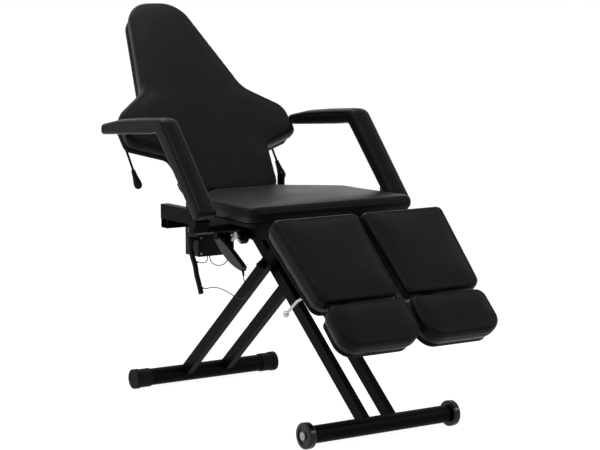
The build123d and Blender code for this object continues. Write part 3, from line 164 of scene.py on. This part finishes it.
# %% A socket that can be added, multiplied and subtracted
class Flow:
    def __init__(self, finish, socket):
        self.finish = finish
        self.socket = socket

    def sum(self, operation, first, second):
        made = self.finish.node("ShaderNodeMath", {"operation": operation}, {0: first, 1: second})
        return Flow(self.finish, made.outputs[0])

    def __add__(self, other):
        return self.sum("ADD", self, other)

    def __radd__(self, other):
        return self.sum("ADD", other, self)

    def __sub__(self, other):
        return self.sum("SUBTRACT", self, other)

    def __rsub__(self, other):
        return self.sum("SUBTRACT", other, self)

    def __mul__(self, other):
        return self.sum("MULTIPLY", self, other)

    def __rmul__(self, other):
        return self.sum("MULTIPLY", other, self)

    def __pow__(self, other):
        return self.sum("POWER", self, other)


# %% A finish: one material, its shader and a way to add any node
class Finish:
    def __init__(self, name, **constants):
        self.material = bpy.data.materials.new(name)
        self.material.use_nodes = True
        self.tree = self.material.node_tree
        self.shader = self.tree.nodes["Principled BSDF"]
        for socket, value in constants.items():
            self.shader.inputs[socket.replace("_", " ")].default_value = value
        self.place = Flow(self, self.node("ShaderNodeTexCoord").outputs["Object"])

    def node(self, kind, settings=None, inputs=None):
        made = self.tree.nodes.new(kind)
        for setting, value in (settings or {}).items():
            if setting == "stops":
                for stop, (at, colour) in zip(self.stops_of(made, len(value)), value):
                    stop.position = at
                    stop.color = colour
            else:
                setattr(made, setting, value)
        for socket, value in (inputs or {}).items():
            self.feed(made.inputs[socket], value)
        return made

    def stops_of(self, ramp, count):
        while len(ramp.color_ramp.elements) < count:
            ramp.color_ramp.elements.new(0.5)
        return ramp.color_ramp.elements

    def feed(self, socket, value):
        if isinstance(value, Flow):
            self.tree.links.new(value.socket, socket)
        else:
            socket.default_value = value

    def flow(self, kind, settings=None, inputs=None, output=0):
        return Flow(self, self.node(kind, settings, inputs).outputs[output])

    def noise(self, scale, detail=3.0, roughness=0.5, place=None):
        inputs = {"Vector": place or self.place, "Scale": scale, "Detail": detail}
        inputs["Roughness"] = roughness
        return self.flow("ShaderNodeTexNoise", {}, inputs)

    def cells(self, scale, feature="F1", place=None):
        inputs = {"Vector": place or self.place, "Scale": scale}
        return self.flow("ShaderNodeTexVoronoi", {"feature": feature}, inputs)

    def stretched(self, scale):
        inputs = {"Vector": self.place, "Scale": scale}
        return self.flow("ShaderNodeMapping", {}, inputs)

    def step(self, value, low, high, to_low=0.0, to_high=1.0):
        inputs = {"Value": value, "From Min": low, "From Max": high}
        inputs.update({"To Min": to_low, "To Max": to_high})
        return self.flow("ShaderNodeMapRange", {}, inputs)

    def blend(self, amount, first, second):
        inputs = {0: amount, 6: first, 7: second}
        return self.flow("ShaderNodeMix", {"data_type": "RGBA"}, inputs, output=2)

    def set(self, socket, value):
        self.feed(self.shader.inputs[socket], value)

    def relief(self, height, depth, strength=1.0, under=None):
        inputs = {"Height": height, "Distance": depth, "Strength": strength}
        if under:
            inputs["Normal"] = under
        bump = self.flow("ShaderNodeBump", {}, inputs)
        self.set("Normal", bump)
        return bump


def grey(level):
    return (level, level, level, 1.0)


# %% [markdown]
# ## Leatherette
# The pads are covered in black coated cloth, embossed with a fine pebble grain. The grain is a
# field of small cells with soft valleys, broken up by a slower noise so that it never repeats.
# Where hands and arms rub, such a skin polishes: a slow noise lowers the roughness in patches.
# Near a seam the skin is drawn together, so each pad carries a value called seam, one in the stitch
# line and nothing a finger's width away, which brings in small puckers and a darker line of painted
# shade along the seam's valley.

# %% The black skin of the pads
leatherette = Finish("leatherette", Specular_IOR_Level=0.06)
seam_nearness = leatherette.flow("ShaderNodeAttribute", {"attribute_name": "seam"}, output="Fac")
skin_place = leatherette.noise(60.0, 2.0)
pebbles = leatherette.cells(720.0, "SMOOTH_F1")
valleys = leatherette.step(pebbles, 0.15, 0.62, 1.0, 0.0)
fine_creases = leatherette.noise(340.0, 4.0, 0.65)
rubbed = leatherette.noise(7.0, 3.0, 0.55)
polish = leatherette.step(rubbed, 0.38, 0.68)
puckers = leatherette.noise(1.0, 2.0, 0.5, leatherette.stretched((210.0, 210.0, 60.0)))
plain_skin = (0.0036, 0.0036, 0.0038, 1.0)
rubbed_skin = (0.0058, 0.0058, 0.0061, 1.0)
skin_tone = leatherette.blend(polish, plain_skin, rubbed_skin)
# painted shade: the skin's colour is darkened along the seams' valleys and welts, where shade would
# fall
painted_seam_shade = leatherette.step(seam_nearness, 0.55, 1.0)
leatherette.set("Base Color", leatherette.blend(painted_seam_shade, skin_tone, grey(0.0018)))
leatherette.set("Roughness", 0.38 - polish * 0.06 + valleys * -0.04 + seam_nearness * 0.08)
grain = leatherette.relief(valleys * 0.7 + fine_creases * 0.45 + skin_place * 0.3, 0.0003, 0.45)
leatherette.relief(puckers * seam_nearness, 0.0011, 0.55, grain)
print("leatherette nodes:", len(leatherette.tree.nodes))

# %% [markdown]
# ## Powder coat
# The tubes and frames were sprayed with dry black powder and baked. The powder flows into a hard
# satin film with an orange peel: soft dimples about two millimetres apart, with a few specks.

# %% The baked black film on the steel
powder_coat = Finish("powder_coat", Specular_IOR_Level=0.03)
peel = powder_coat.noise(420.0, 2.0)
specks = powder_coat.step(powder_coat.cells(95.0), 0.0, 0.09, 1.0, 0.0)
dusting = powder_coat.noise(5.0, 4.0, 0.6)
powder_coat.set("Base Color", powder_coat.blend(dusting, grey(0.0016), grey(0.0034)))
powder_coat.set("Roughness", 0.36 + dusting * 0.12 + specks * 0.08)
powder_coat.relief(peel + specks * 0.35, 0.00035, 0.4)

# %% [markdown]
# ## Bright and plated steel
# The clamp levers, drive rod and spring rod are polished and chromed: a nearly clean mirror, with
# hairlines along the way it was ground. Plated fasteners, the armrests' wing bolts among them, are
# duller, and their grey changes from one crystal patch to the next.

# %% Polished steel with hairlines
bright_steel = Finish("bright_steel", Metallic=1.0)
hairlines = bright_steel.noise(1.0, 3.0, 0.7, bright_steel.stretched((900.0, 60.0, 900.0)))
handling = bright_steel.noise(25.0, 3.0)
bright_steel.set("Base Color", bright_steel.blend(handling, grey(0.36), grey(0.50)))
bright_steel.set("Roughness", 0.13 + handling * 0.1 + hairlines * 0.05)
bright_steel.relief(hairlines, 0.00004, 0.3)

# %% Plated fasteners
zinc_steel = Finish("zinc_steel", Metallic=1.0)
patches = zinc_steel.flow(
    "ShaderNodeTexVoronoi",
    {"feature": "F1"},
    {"Vector": zinc_steel.place, "Scale": 160.0},
    output="Color",
)
zinc_tone = zinc_steel.flow("ShaderNodeSeparateColor", {}, {"Color": patches})
zinc_steel.set("Base Color", zinc_steel.blend(zinc_tone, grey(0.22), grey(0.34)))
zinc_steel.set("Roughness", 0.3 + zinc_tone * 0.14)
zinc_steel.relief(zinc_steel.noise(700.0, 2.0), 0.00006, 0.3)

# %% [markdown]
# ## Rubber, plastics and the cables' jacket
# Black is never one black. The end caps are dull rubber with a bloom, the wheels are a harder and
# glossier moulding with rings left by the mould, the box and its buttons have a spark-eroded
# grain, and the back of the handset is a greyer plastic with a salt-and-pepper speckle.

# %% Dull rubber of the end caps
black_rubber = Finish("black_rubber", Specular_IOR_Level=0.07)
bloom = black_rubber.noise(14.0, 4.0, 0.6)
black_rubber.set("Base Color", black_rubber.blend(bloom, grey(0.0035), grey(0.0070)))
black_rubber.set("Roughness", 0.5 + bloom * 0.16)
black_rubber.relief(black_rubber.noise(620.0, 3.0), 0.0002, 0.35)

# %% Harder rubber of the wheels
wheel_rubber = Finish("wheel_rubber", Specular_IOR_Level=0.22)
scuffs = wheel_rubber.noise(30.0, 5.0, 0.7)
mould_rings = wheel_rubber.flow(
    "ShaderNodeTexWave",
    {"wave_type": "RINGS", "rings_direction": "X"},
    {"Vector": wheel_rubber.place, "Scale": 120.0, "Distortion": 0.6},
)
worn = wheel_rubber.step(scuffs, 0.45, 0.7)
wheel_rubber.set("Base Color", wheel_rubber.blend(worn, grey(0.0024), grey(0.0055)))
wheel_rubber.set("Roughness", 0.2 + worn * 0.16)
wheel_rubber.relief(mould_rings * 0.2 + scuffs * 0.4, 0.0002, 0.3)

# %% Moulded black plastic
black_plastic = Finish("black_plastic", Specular_IOR_Level=0.08)
eroded = black_plastic.noise(1100.0, 2.0, 0.6)
flow_marks = black_plastic.noise(18.0, 3.0)
black_plastic.set("Base Color", black_plastic.blend(flow_marks, grey(0.0026), grey(0.0052)))
black_plastic.set("Roughness", 0.36 + eroded * 0.14)
black_plastic.relief(eroded, 0.00025, 0.5)

# %% Speckled grey plastic of the handset
grey_plastic = Finish("grey_plastic", Specular_IOR_Level=0.2)
pepper = grey_plastic.step(grey_plastic.noise(1500.0, 1.0), 0.42, 0.6)
grey_plastic.set("Base Color", grey_plastic.blend(pepper, grey(0.010), grey(0.045)))
grey_plastic.set("Roughness", 0.42 + pepper * 0.1)
grey_plastic.relief(pepper, 0.00015, 0.4)

# %% Black jacket of the cables
cable_jacket = Finish("cable_jacket", Specular_IOR_Level=0.1)
jacket_drag = cable_jacket.noise(240.0, 3.0)
cable_jacket.set("Base Color", cable_jacket.blend(jacket_drag, grey(0.0028), grey(0.0060)))
cable_jacket.set("Roughness", 0.38 + jacket_drag * 0.12)
cable_jacket.relief(jacket_drag, 0.0001, 0.3)

# %% [markdown]
# ## Boards and thread
# Each pad is stapled to a plywood board, stained black so that its edge doesn't show. The grain
# runs along the board in long streaks and the cut edge shows its layers. The stitches are a black
# twisted thread, a little greyer than the skin because fibres scatter light.

# %% Black-stained plywood
board_wood = Finish("board_wood", Specular_IOR_Level=0.06)
streaks = board_wood.noise(1.0, 5.0, 0.6, board_wood.stretched((160.0, 12.0, 12.0)))
layers = board_wood.flow(
    "ShaderNodeTexWave",
    {"bands_direction": "Z"},
    {"Vector": board_wood.place, "Scale": 90.0, "Distortion": 1.5},
)
stain_brown = (0.0090, 0.0078, 0.0068, 1.0)
board_wood.set("Base Color", board_wood.blend(streaks, grey(0.0030), stain_brown))
board_wood.set("Roughness", 0.55 + layers * 0.12)
board_wood.relief(streaks + layers * 0.3, 0.0003, 0.4)

# %% Twisted black thread
thread = Finish("thread", Specular_IOR_Level=0.1)
twist = thread.noise(1600.0, 2.0)
thread.set("Base Color", thread.blend(twist, grey(0.005), grey(0.014)))
thread.set("Roughness", 0.5 + twist * 0.15)
thread.relief(twist, 0.0001, 0.5)

# %% Every piece of the model takes the finish that the record names for it
finishes = {
    finish.material.name.split(".")[0]: finish.material
    for finish in (
        leatherette, powder_coat, bright_steel, zinc_steel, black_rubber, wheel_rubber,
        black_plastic, grey_plastic, cable_jacket, board_wood, thread,
    )
}
painted = 0
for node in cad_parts.values():
    for slot in node.material_slots:
        slot.material = finishes[slot.material.name.split(".")[0]]
        painted += 1

# %% [markdown]
# The axle of the scissor and the lift's hinge pin are black on the real chair, and its wing bolts
# are duller than the clamp levers.

# %% Three pieces that differ from the record
for blackened in ("scissor_axle", "lift_hinge_pin"):
    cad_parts[blackened].material_slots[0].material = powder_coat.material
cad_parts["arm_wing_bolts"].material_slots[0].material = zinc_steel.material
for cable in cables:
    cable.data.materials.append(cable_jacket.material)
print("slots painted:", painted)

# %% [markdown]
# ## The pads
# A pad is a block of foam on a board, under a skin that is cut a little too small for it. The skin
# pulls the block's edges round and its top up into a low crown, and it gives way at the seams.
# A cushion can be drawn by hand as a crowned box, but blowing it up is closer to how it is made:
# the model's plain pad is made slightly smaller, covered with even squares, and filled with air
# as cloth for most of a second. The underside lies on its board, so it is held still, and no point
# may move further than foam would. The moves are then evened out, so that no dents stay. The seams
# come last, because the even squares would wipe them out.

# %% How far the skin gives, in metres
skin_slack = 0.0012
side_swell = 0.0010
inward_limit = 0.0005
air_frames = 20
seam_reach = 0.014


# %% Take a pad's shape from the model, a little smaller, in the pad's own directions
def slack_shape(node, place, base):
    shape = bmesh.new()
    shape.from_mesh(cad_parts[node].data)
    bmesh.ops.remove_doubles(shape, verts=shape.verts, dist=0.00003)
    bmesh.ops.recalc_face_normals(shape, faces=shape.faces)
    bmesh.ops.transform(shape, matrix=place.inverted(), verts=shape.verts)
    shape.normal_update()
    for corner in shape.verts:
        outward = corner.normal.copy()
        outward -= base * max(0.0, outward.dot(base))
        corner.co -= outward * skin_slack
    return shape


# %% Cover it with even squares
def even_squares(name, shape, size):
    mesh = bpy.data.meshes.new(name)
    shape.to_mesh(mesh)
    shape.free()
    pad = bpy.data.objects.new(name, mesh)
    scene.collection.objects.link(pad)
    squares = pad.modifiers.new("squares", "REMESH")
    squares.mode = "VOXEL"
    squares.voxel_size = size
    settle(pad)
    return pad


def settle(pad):
    """The pad's modifiers become its mesh."""
    changed = pad.evaluated_get(bpy.context.evaluated_depsgraph_get())
    done = bpy.data.meshes.new_from_object(changed)
    pad.modifiers.clear()
    old = pad.data
    pad.data = done
    bpy.data.meshes.remove(old)


# %% Fill it with air, with its base held
def swell(pad, base, crown):
    before = [(corner.co.copy(), corner.normal.copy()) for corner in pad.data.vertices]
    held = pad.vertex_groups.new(name="held")
    resting = [corner.index for corner in pad.data.vertices if corner.normal.dot(base) > 0.85]
    held.add(resting, 1.0, "REPLACE")
    cloth = pad.modifiers.new("air", "CLOTH")
    cloth.settings.quality = 4
    cloth.settings.mass = 0.3
    cloth.settings.tension_stiffness = 18.0
    cloth.settings.compression_stiffness = 18.0
    cloth.settings.bending_stiffness = 1.5
    cloth.settings.use_pressure = True
    cloth.settings.uniform_pressure_force = 4.0
    cloth.settings.vertex_group_mass = "held"
    cloth.settings.effector_weights.gravity = 0.0
    cloth.collision_settings.use_collision = False
    cloth.point_cache.frame_start = 1
    cloth.point_cache.frame_end = air_frames
    for moment in range(1, air_frames + 1):
        scene.frame_set(moment)
    settle(pad)
    pad.vertex_groups.clear()
    moves = []
    for corner, (start, outward) in zip(pad.data.vertices, before):
        moved = corner.co - start
        top = max(0.0, -outward.dot(base))
        most = side_swell + (crown - side_swell) * top
        if moved.dot(outward) < 0.0:
            most = inward_limit
        moves.append(soft_limit(moved, most))
    for corner, (start, _), move in zip(pad.data.vertices, before, even_out(pad.data, moves)):
        corner.co = start + Vector(move)
    scene.frame_set(1)
    print(pad.name, "swelled, squares:", len(pad.data.polygons))


def even_out(mesh, moves, rounds=14):
    """The moves, each drawn towards the mean of its neighbours, so that no dents stay."""
    ends = np.empty(len(mesh.edges) * 2, dtype=np.int64)
    mesh.edges.foreach_get("vertices", ends)
    first, second = ends[0::2], ends[1::2]
    moves = np.array(moves)
    count = np.bincount(ends, minlength=len(moves))[:, None]
    for _ in range(rounds):
        total = np.zeros_like(moves)
        np.add.at(total, first, moves[second])
        np.add.at(total, second, moves[first])
        moves = (moves + total / count) / 2
    return moves


def soft_limit(move, most):
    """A move that never passes most, and eases towards it."""
    if move.length < 1e-9:
        return move
    return move * (most * tanh(move.length / most) / move.length)


# %% [markdown]
# ## Seams
# Where two panels are sewn, the stitches pull the skin into a narrow valley all round the pad. The
# mesh gets three level cuts at the seam's height, and the middle one is drawn in. Other lines run
# across a face at a set distance from the outline, which a tree of the outline's points finds fast.
# Each point remembers how near it is to a seam, for the puckers in the leatherette and for the
# painted shade along its seams.


# %% Draw a valley round the pad at each seam's height
def sew(shape, heights, axis, width=0.0030, depth=0.0013):
    near = shape.verts.layers.float.new("seam")
    level = Vector((0.0, 0.0, 0.0))
    level[axis] = 1.0
    for height in heights:
        for shift in (-width, 0.0, width):
            everything = shape.verts[:] + shape.edges[:] + shape.faces[:]
            cut_point = level * (height + shift)
            bmesh.ops.bisect_plane(
                shape, geom=everything, dist=0.0001, plane_co=cut_point, plane_no=level
            )
    shape.normal_update()
    moves = []
    for corner in shape.verts:
        away = min(abs(corner.co[axis] - height) for height in heights)
        sideways = corner.normal - level * corner.normal[axis]
        if sideways.length < 0.25:
            continue
        corner[near] = max(0.0, 1.0 - away / seam_reach) * sideways.length
        if away < width * 0.98:
            moves.append((corner, sideways.normalized() * (depth * (1.0 - away / width))))
    for corner, move in moves:
        corner.co -= move


# %% Follow the outline at a set distance: a valley round a side panel, or a welt round a top one
def let_in(shape, axis, inset, front, depth, faces, width=0.0042, fade=0.05):
    near = shape.verts.layers.float["seam"]
    levels = [corner.co[axis] for corner in shape.verts]
    outline = level_line(shape, (min(levels) + max(levels)) / 2, axis)
    tree = KDTree(len(outline))
    for index, (place, _) in enumerate(outline):
        place[axis] = 0.0
        tree.insert(place, index)
    tree.balance()
    for corner in shape.verts:
        facing = corner.normal[axis]
        if max(facing * face for face in faces) < 0.45:
            continue
        flat = corner.co.copy()
        flat[axis] = 0.0
        away = abs(tree.find(flat)[2] - inset)
        share = min(1.0, max(0.0, (corner.co.y - front) / fade))
        corner[near] = max(corner[near], (1.0 - away / seam_reach) * share, 0.0)
        if away < width:
            drawn = depth * share * (1.0 - (away / width) ** 2)
            corner.co[axis] -= drawn if facing > 0 else -drawn


# %% Follow a level line round the pad
def level_line(shape, height, axis):
    level = Vector((0.0, 0.0, 0.0))
    level[axis] = 1.0
    copy = shape.copy()
    everything = copy.verts[:] + copy.edges[:] + copy.faces[:]
    cut = bmesh.ops.bisect_plane(
        copy, geom=everything, dist=0.00001, plane_co=level * height, plane_no=level
    )["geom_cut"]
    copy.normal_update()
    ways = {}
    for edge in cut:
        if isinstance(edge, bmesh.types.BMEdge):
            ways.setdefault(edge.verts[0], []).append(edge.verts[1])
            ways.setdefault(edge.verts[1], []).append(edge.verts[0])
    line, seen = [], set()
    here = next(iter(ways))
    while here is not None:
        seen.add(here)
        line.append((here.co.copy(), here.normal.copy()))
        here = next((other for other in ways[here] if other not in seen), None)
    copy.free()
    return line


# %% Lay one stitch after another along such a line
def stitch(line, pitch=0.0062, half_size=(0.0021, 0.00055, 0.0006)):
    stitches = bmesh.new()
    size = Matrix.Diagonal((*half_size, 1.0))
    travelled, due = 0.0, 0.0
    for (start, normal), (end, _) in zip(line, line[1:] + line[:1]):
        run = (end - start).length
        if run > pitch * 4:
            continue
        while due <= travelled + run and run > 0:
            place = start.lerp(end, (due - travelled) / run)
            along = (end - start).normalized()
            out = normal - along * normal.dot(along)
            out.normalize()
            across = along.cross(out)
            turn = Matrix((along, across, out)).transposed().to_4x4()
            laid = Matrix.Translation(place + out * 0.0002) @ turn @ size
            bmesh.ops.create_icosphere(stitches, subdivisions=1, radius=1.0, matrix=laid)
            due += pitch
        travelled += run
    return stitches


# %% A welt: the folded edge of the top panel, which stands up a little and catches the light
def welt(inset):
    return {"inset": inset, "front": -2.0, "depth": -0.0010, "faces": (1,)}


# %% Put a finished shape back in its place as a smooth object
def finish_piece(name, shape, place, body, material):
    bmesh.ops.transform(shape, matrix=place, verts=shape.verts)
    for face in shape.faces:
        face.smooth = True
    mesh = bpy.data.meshes.new(name)
    shape.to_mesh(mesh)
    shape.free()
    mesh.materials.append(material)
    piece = bpy.data.objects.new(name, mesh)
    scene.collection.objects.link(piece)
    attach(piece, body)
    return piece


# %% The whole way from the model's plain pad to a sewn one
def sewn_pad(node, body, place, base, axis, squares, crown, seams, stitched, line):
    name = node + "_sewn"
    raw = even_squares(name + "_raw", slack_shape(node, place, base), squares)
    swell(raw, base, crown)
    finer = raw.modifiers.new("finer", "SUBSURF")
    finer.levels = finer.render_levels = 1
    settle(raw)
    shape = bmesh.new()
    shape.from_mesh(raw.data)
    old = raw.data
    bpy.data.objects.remove(raw)
    bpy.data.meshes.remove(old)
    sew(shape, seams, axis)
    let_in(shape, axis, **line)
    rows = [stitch(level_line(shape, height, axis)) for height in stitched]
    pad = finish_piece(name, shape, place, body, leatherette.material)
    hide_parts(node)
    pieces = [pad]
    for row in rows:
        pieces.append(
            finish_piece(name + "_stitches", row, place, body, thread.material)
        )
    print(name, "faces:", [len(piece.data.polygons) for piece in pieces])
    return pieces


# %% The same pad for the other side
def mirrored(pieces, old, new, body, node):
    made = []
    for piece in pieces:
        shape = bmesh.new()
        shape.from_mesh(piece.data)
        bmesh.ops.transform(shape, matrix=Matrix.Diagonal((-1.0, 1.0, 1.0, 1.0)), verts=shape.verts)
        bmesh.ops.reverse_faces(shape, faces=shape.faces)
        name, material = piece.name.replace(old, new), piece.data.materials[0]
        made.append(finish_piece(name, shape, Matrix(), body, material))
    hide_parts(node)
    print("mirrored", made[0].name)
    return made


# %% [markdown]
# ## The directions of each pad
# The seat lies level. The backrest, the calf rests and the foot rests lean about their hinges, so
# each is worked on in its own directions, where up is out of the cushion, and put back afterwards.

# %% Where the leaning pads turn about their hinges, and how high their tops are above those
def leaning(y, z, degrees):
    return Matrix.Translation((0.0, y, z)) @ Matrix.Rotation(radians(degrees), 4, "X")


down = Vector((0.0, 0.0, -1.0))
flat_place = Matrix()
back_place = leaning(0.234442, 0.668, 46.4)
calf_place = leaning(-0.398758, 0.546, 42.8)
foot_place = leaning(-0.66698, 0.379397, 44.0)
back_top = 0.052
calf_top = 0.165
foot_top = 0.1045

# %% [markdown]
# ## Seat
# The seat is a broad level pad with a soft crown. Its top panel is sewn to a side band just under
# the rolled edge, and a second seam halfway down joins the band to the strip that is stapled
# under the board; the photograph shows it as a fine step along the front and the side.

# %% Sew the seat
seat_low, seat_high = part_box("seat_cushion")
seat_top = seat_high[2]
sewn_pad(
    "seat_cushion", "lift_frame", flat_place, down, 2, squares=0.0065, crown=0.0030,
    seams=(seat_top - 0.019, seat_top - 0.045), stitched=(seat_top - 0.0235,), line=welt(0.0105),
)

# %% [markdown]
# ## Backrest
# The backrest narrows to a rounded head, with wings at the elbows. It is the largest pad, so its
# squares are a little larger. The band round its side shows one seam near the front edge and one
# near the board.

# %% Sew the backrest
sewn_pad(
    "back_cushion", "backrest", back_place, down, 2, squares=0.0080, crown=0.0030,
    seams=(back_top - 0.019, back_top - 0.050), stitched=(back_top - 0.0235,), line=welt(0.0110),
)

# %% [markdown]
# ## Calf rests and foot rests
# Two long pads carry the lower legs and two short ones the feet, each pair a mirror image. Their
# top edges are rolled tightly, and the light catches them as a thin line all round.

# %% Sew the calf rests
calf_left = sewn_pad(
    "calf_cushion_left", "leg_rest_left", calf_place, down, 2, squares=0.0055, crown=0.0025,
    seams=(calf_top - 0.018,), stitched=(calf_top - 0.0225,), line=welt(0.0100),
)
mirrored(calf_left, "left", "right", "leg_rest_right", "calf_cushion_right")

# %% Sew the foot rests
foot_left = sewn_pad(
    "foot_cushion_left", "foot_rest_left", foot_place, down, 2, squares=0.0050, crown=0.0022,
    seams=(foot_top - 0.017,), stitched=(foot_top - 0.0215,), line=welt(0.0095),
)
mirrored(foot_left, "left", "right", "foot_rest_right", "foot_cushion_right")

# %% [markdown]
# ## Armrests
# Each armrest is one bent pad: an upright that rises from the seat's side and a long arm above it.
# Its skin closes in one seam along the middle of the edge. On both faces of the long arm a padded
# panel is let in, and the valley round it follows the outline a little way in.

# %% Sew the armrests
arm_low, arm_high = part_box("arm_cushion_left")
arm_middle = (arm_low[0] + arm_high[0]) / 2
inward = Vector((-1.0, 0.0, 0.0))
arm_left = sewn_pad(
    "arm_cushion_left", "armrest_left", flat_place, inward, 0, squares=0.0050, crown=0.0015,
    seams=(arm_middle,), stitched=(),
    line={"inset": 0.016, "front": 0.05, "depth": 0.0016, "faces": (1, -1)},
)
mirrored(arm_left, "left", "right", "armrest_right", "arm_cushion_right")

# %% [markdown]
# ## Release grips
# A squeeze of either hanging grip frees the backrest. Each is a soft moulding like a long drop,
# narrow where the rod enters and full near its end. A drop is round about its own axis, so half
# of its outline is spun once round and its poles are merged.

# %% Spin a drop and hang one on each rod
grip_outline = (
    (0.0000, 0.0000), (0.0058, 0.0004), (0.0074, 0.0030), (0.0078, 0.0110), (0.0086, 0.0220),
    (0.0106, 0.0350), (0.0128, 0.0470), (0.0139, 0.0570), (0.0136, 0.0650), (0.0112, 0.0715),
    (0.0070, 0.0752), (0.0000, 0.0765),
)


def drop_grip(top, bottom):
    shape = bmesh.new()
    half = [shape.verts.new((radius, 0.0, height)) for radius, height in grip_outline]
    lines = [shape.edges.new(pair) for pair in zip(half, half[1:])]
    bmesh.ops.spin(
        shape, geom=half + lines, cent=(0, 0, 0), axis=(0, 0, 1), angle=radians(360), steps=32,
        use_merge=True,
    )
    bmesh.ops.remove_doubles(shape, verts=shape.verts, dist=0.00001)
    bmesh.ops.recalc_face_normals(shape, faces=shape.faces)
    way = Vector(bottom) - Vector(top)
    turn = way.to_track_quat("Z", "Y").to_matrix().to_4x4()
    size = Matrix.Diagonal((1.0, 1.0, way.length / grip_outline[-1][1], 1.0))
    bmesh.ops.transform(shape, matrix=Matrix.Translation(top) @ turn @ size, verts=shape.verts)
    return shape


# %% Where the rods end, in the backrest's own directions
rod_x = 0.290
for side, sign in (("left", 1.0), ("right", -1.0)):
    top = back_place @ Vector((sign * rod_x, 0.1977, -0.0792))
    bottom = back_place @ Vector((sign * rod_x, 0.1264, -0.0888))
    finish_piece(
        "drop_grip_" + side, drop_grip(top, bottom), Matrix(), "release_bar",
        black_rubber.material,
    )
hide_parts("release_grips")

# %% [markdown]
# ## Floor, backdrop and light
# The chair was photographed on white with hardly a shadow. The floor is a wide white disc and the
# world behind it is white too, for whatever looks straight at them, also by way of a mirror. What
# lights the chair is kept apart from that: a broad lamp overhead, one on the left, two smaller ones
# in front and a dim world, so that black stays black and only rolled edges and level tops catch
# the light.

# %% White floor that still takes a shadow
floor_shape = bmesh.new()
bmesh.ops.create_circle(floor_shape, cap_ends=True, segments=96, radius=60.0)
floor_mesh = bpy.data.meshes.new("studio_floor")
floor_shape.to_mesh(floor_mesh)
floor_shape.free()
floor = bpy.data.objects.new("studio_floor", floor_mesh)
scene.collection.objects.link(floor)
floor_finish = Finish("studio_floor", Base_Color=grey(0.7), Roughness=0.9, Specular_IOR_Level=0.0)
rays = floor_finish.node("ShaderNodeLightPath")
by_camera, by_gloss, through = (
    Flow(floor_finish, rays.outputs["Is " + kind + " Ray"])
    for kind in ("Camera", "Glossy", "Transmission")
)
pale = floor_finish.flow("ShaderNodeBsdfDiffuse", {}, {"Color": grey(0.30)})
glow = floor_finish.flow("ShaderNodeEmission", {}, {"Color": grey(1.0), "Strength": 0.93})
shown = floor_finish.flow("ShaderNodeAddShader", {}, {0: pale, 1: glow})
lighting = Flow(floor_finish, floor_finish.shader.outputs[0])
ground = floor_finish.flow(
    "ShaderNodeMixShader", {}, {0: by_camera + by_gloss + through, 1: lighting, 2: shown}
)
floor_finish.feed(floor_finish.tree.nodes["Material Output"].inputs["Surface"], ground)
floor_mesh.materials.append(floor_finish.material)

# %% White backdrop and a dim room
world = bpy.data.worlds.new("studio_room")
scene.world = world
world.use_nodes = True
room = world.node_tree
room_rays = room.nodes.new("ShaderNodeLightPath")
seen = room.nodes.new("ShaderNodeMath")
seen.operation = "MAXIMUM"
room.links.new(room_rays.outputs["Is Camera Ray"], seen.inputs[0])
room.links.new(room_rays.outputs["Is Glossy Ray"], seen.inputs[1])
seen_all = room.nodes.new("ShaderNodeMath")
seen_all.operation = "MAXIMUM"
room.links.new(seen.outputs[0], seen_all.inputs[0])
room.links.new(room_rays.outputs["Is Transmission Ray"], seen_all.inputs[1])
dim = room.nodes["Background"]
dim.inputs["Color"].default_value = grey(1.0)
dim.inputs["Strength"].default_value = 0.35
white = room.nodes.new("ShaderNodeBackground")
white.inputs["Color"].default_value = grey(1.0)
white.inputs["Strength"].default_value = 1.0
either = room.nodes.new("ShaderNodeMixShader")
room.links.new(seen_all.outputs[0], either.inputs[0])
room.links.new(dim.outputs[0], either.inputs[1])
room.links.new(white.outputs[0], either.inputs[2])
room.links.new(either.outputs[0], room.nodes["World Output"].inputs["Surface"])


# %% Lamps as broad soft panels
def soft_panel(name, place, aim, size, watts):
    lamp_data = bpy.data.lights.new(name, "AREA")
    lamp_data.shape = "SQUARE"
    lamp_data.size = size
    lamp_data.energy = watts
    lamp = bpy.data.objects.new(name, lamp_data)
    lamp.location = place
    lamp.rotation_euler = (Vector(aim) - Vector(place)).to_track_quat("-Z", "Y").to_euler()
    scene.collection.objects.link(lamp)
    print(name, watts, "W")
    return lamp


soft_panel("overhead_panel", (0.1, 1.5, 3.3), (0.0, 0.0, 0.6), 2.2, 44.0)
soft_panel("left_panel", (-3.2, 1.9, 1.9), (0.0, 0.0, 0.8), 1.6, 24.0)
soft_panel("front_right_panel", (2.1, -2.9, 1.9), (0.0, -0.5, 0.5), 0.8, 26.0)
soft_panel("top_left_panel", (-1.1, -1.1, 3.0), (0.0, -0.2, 0.6), 0.7, 20.0)
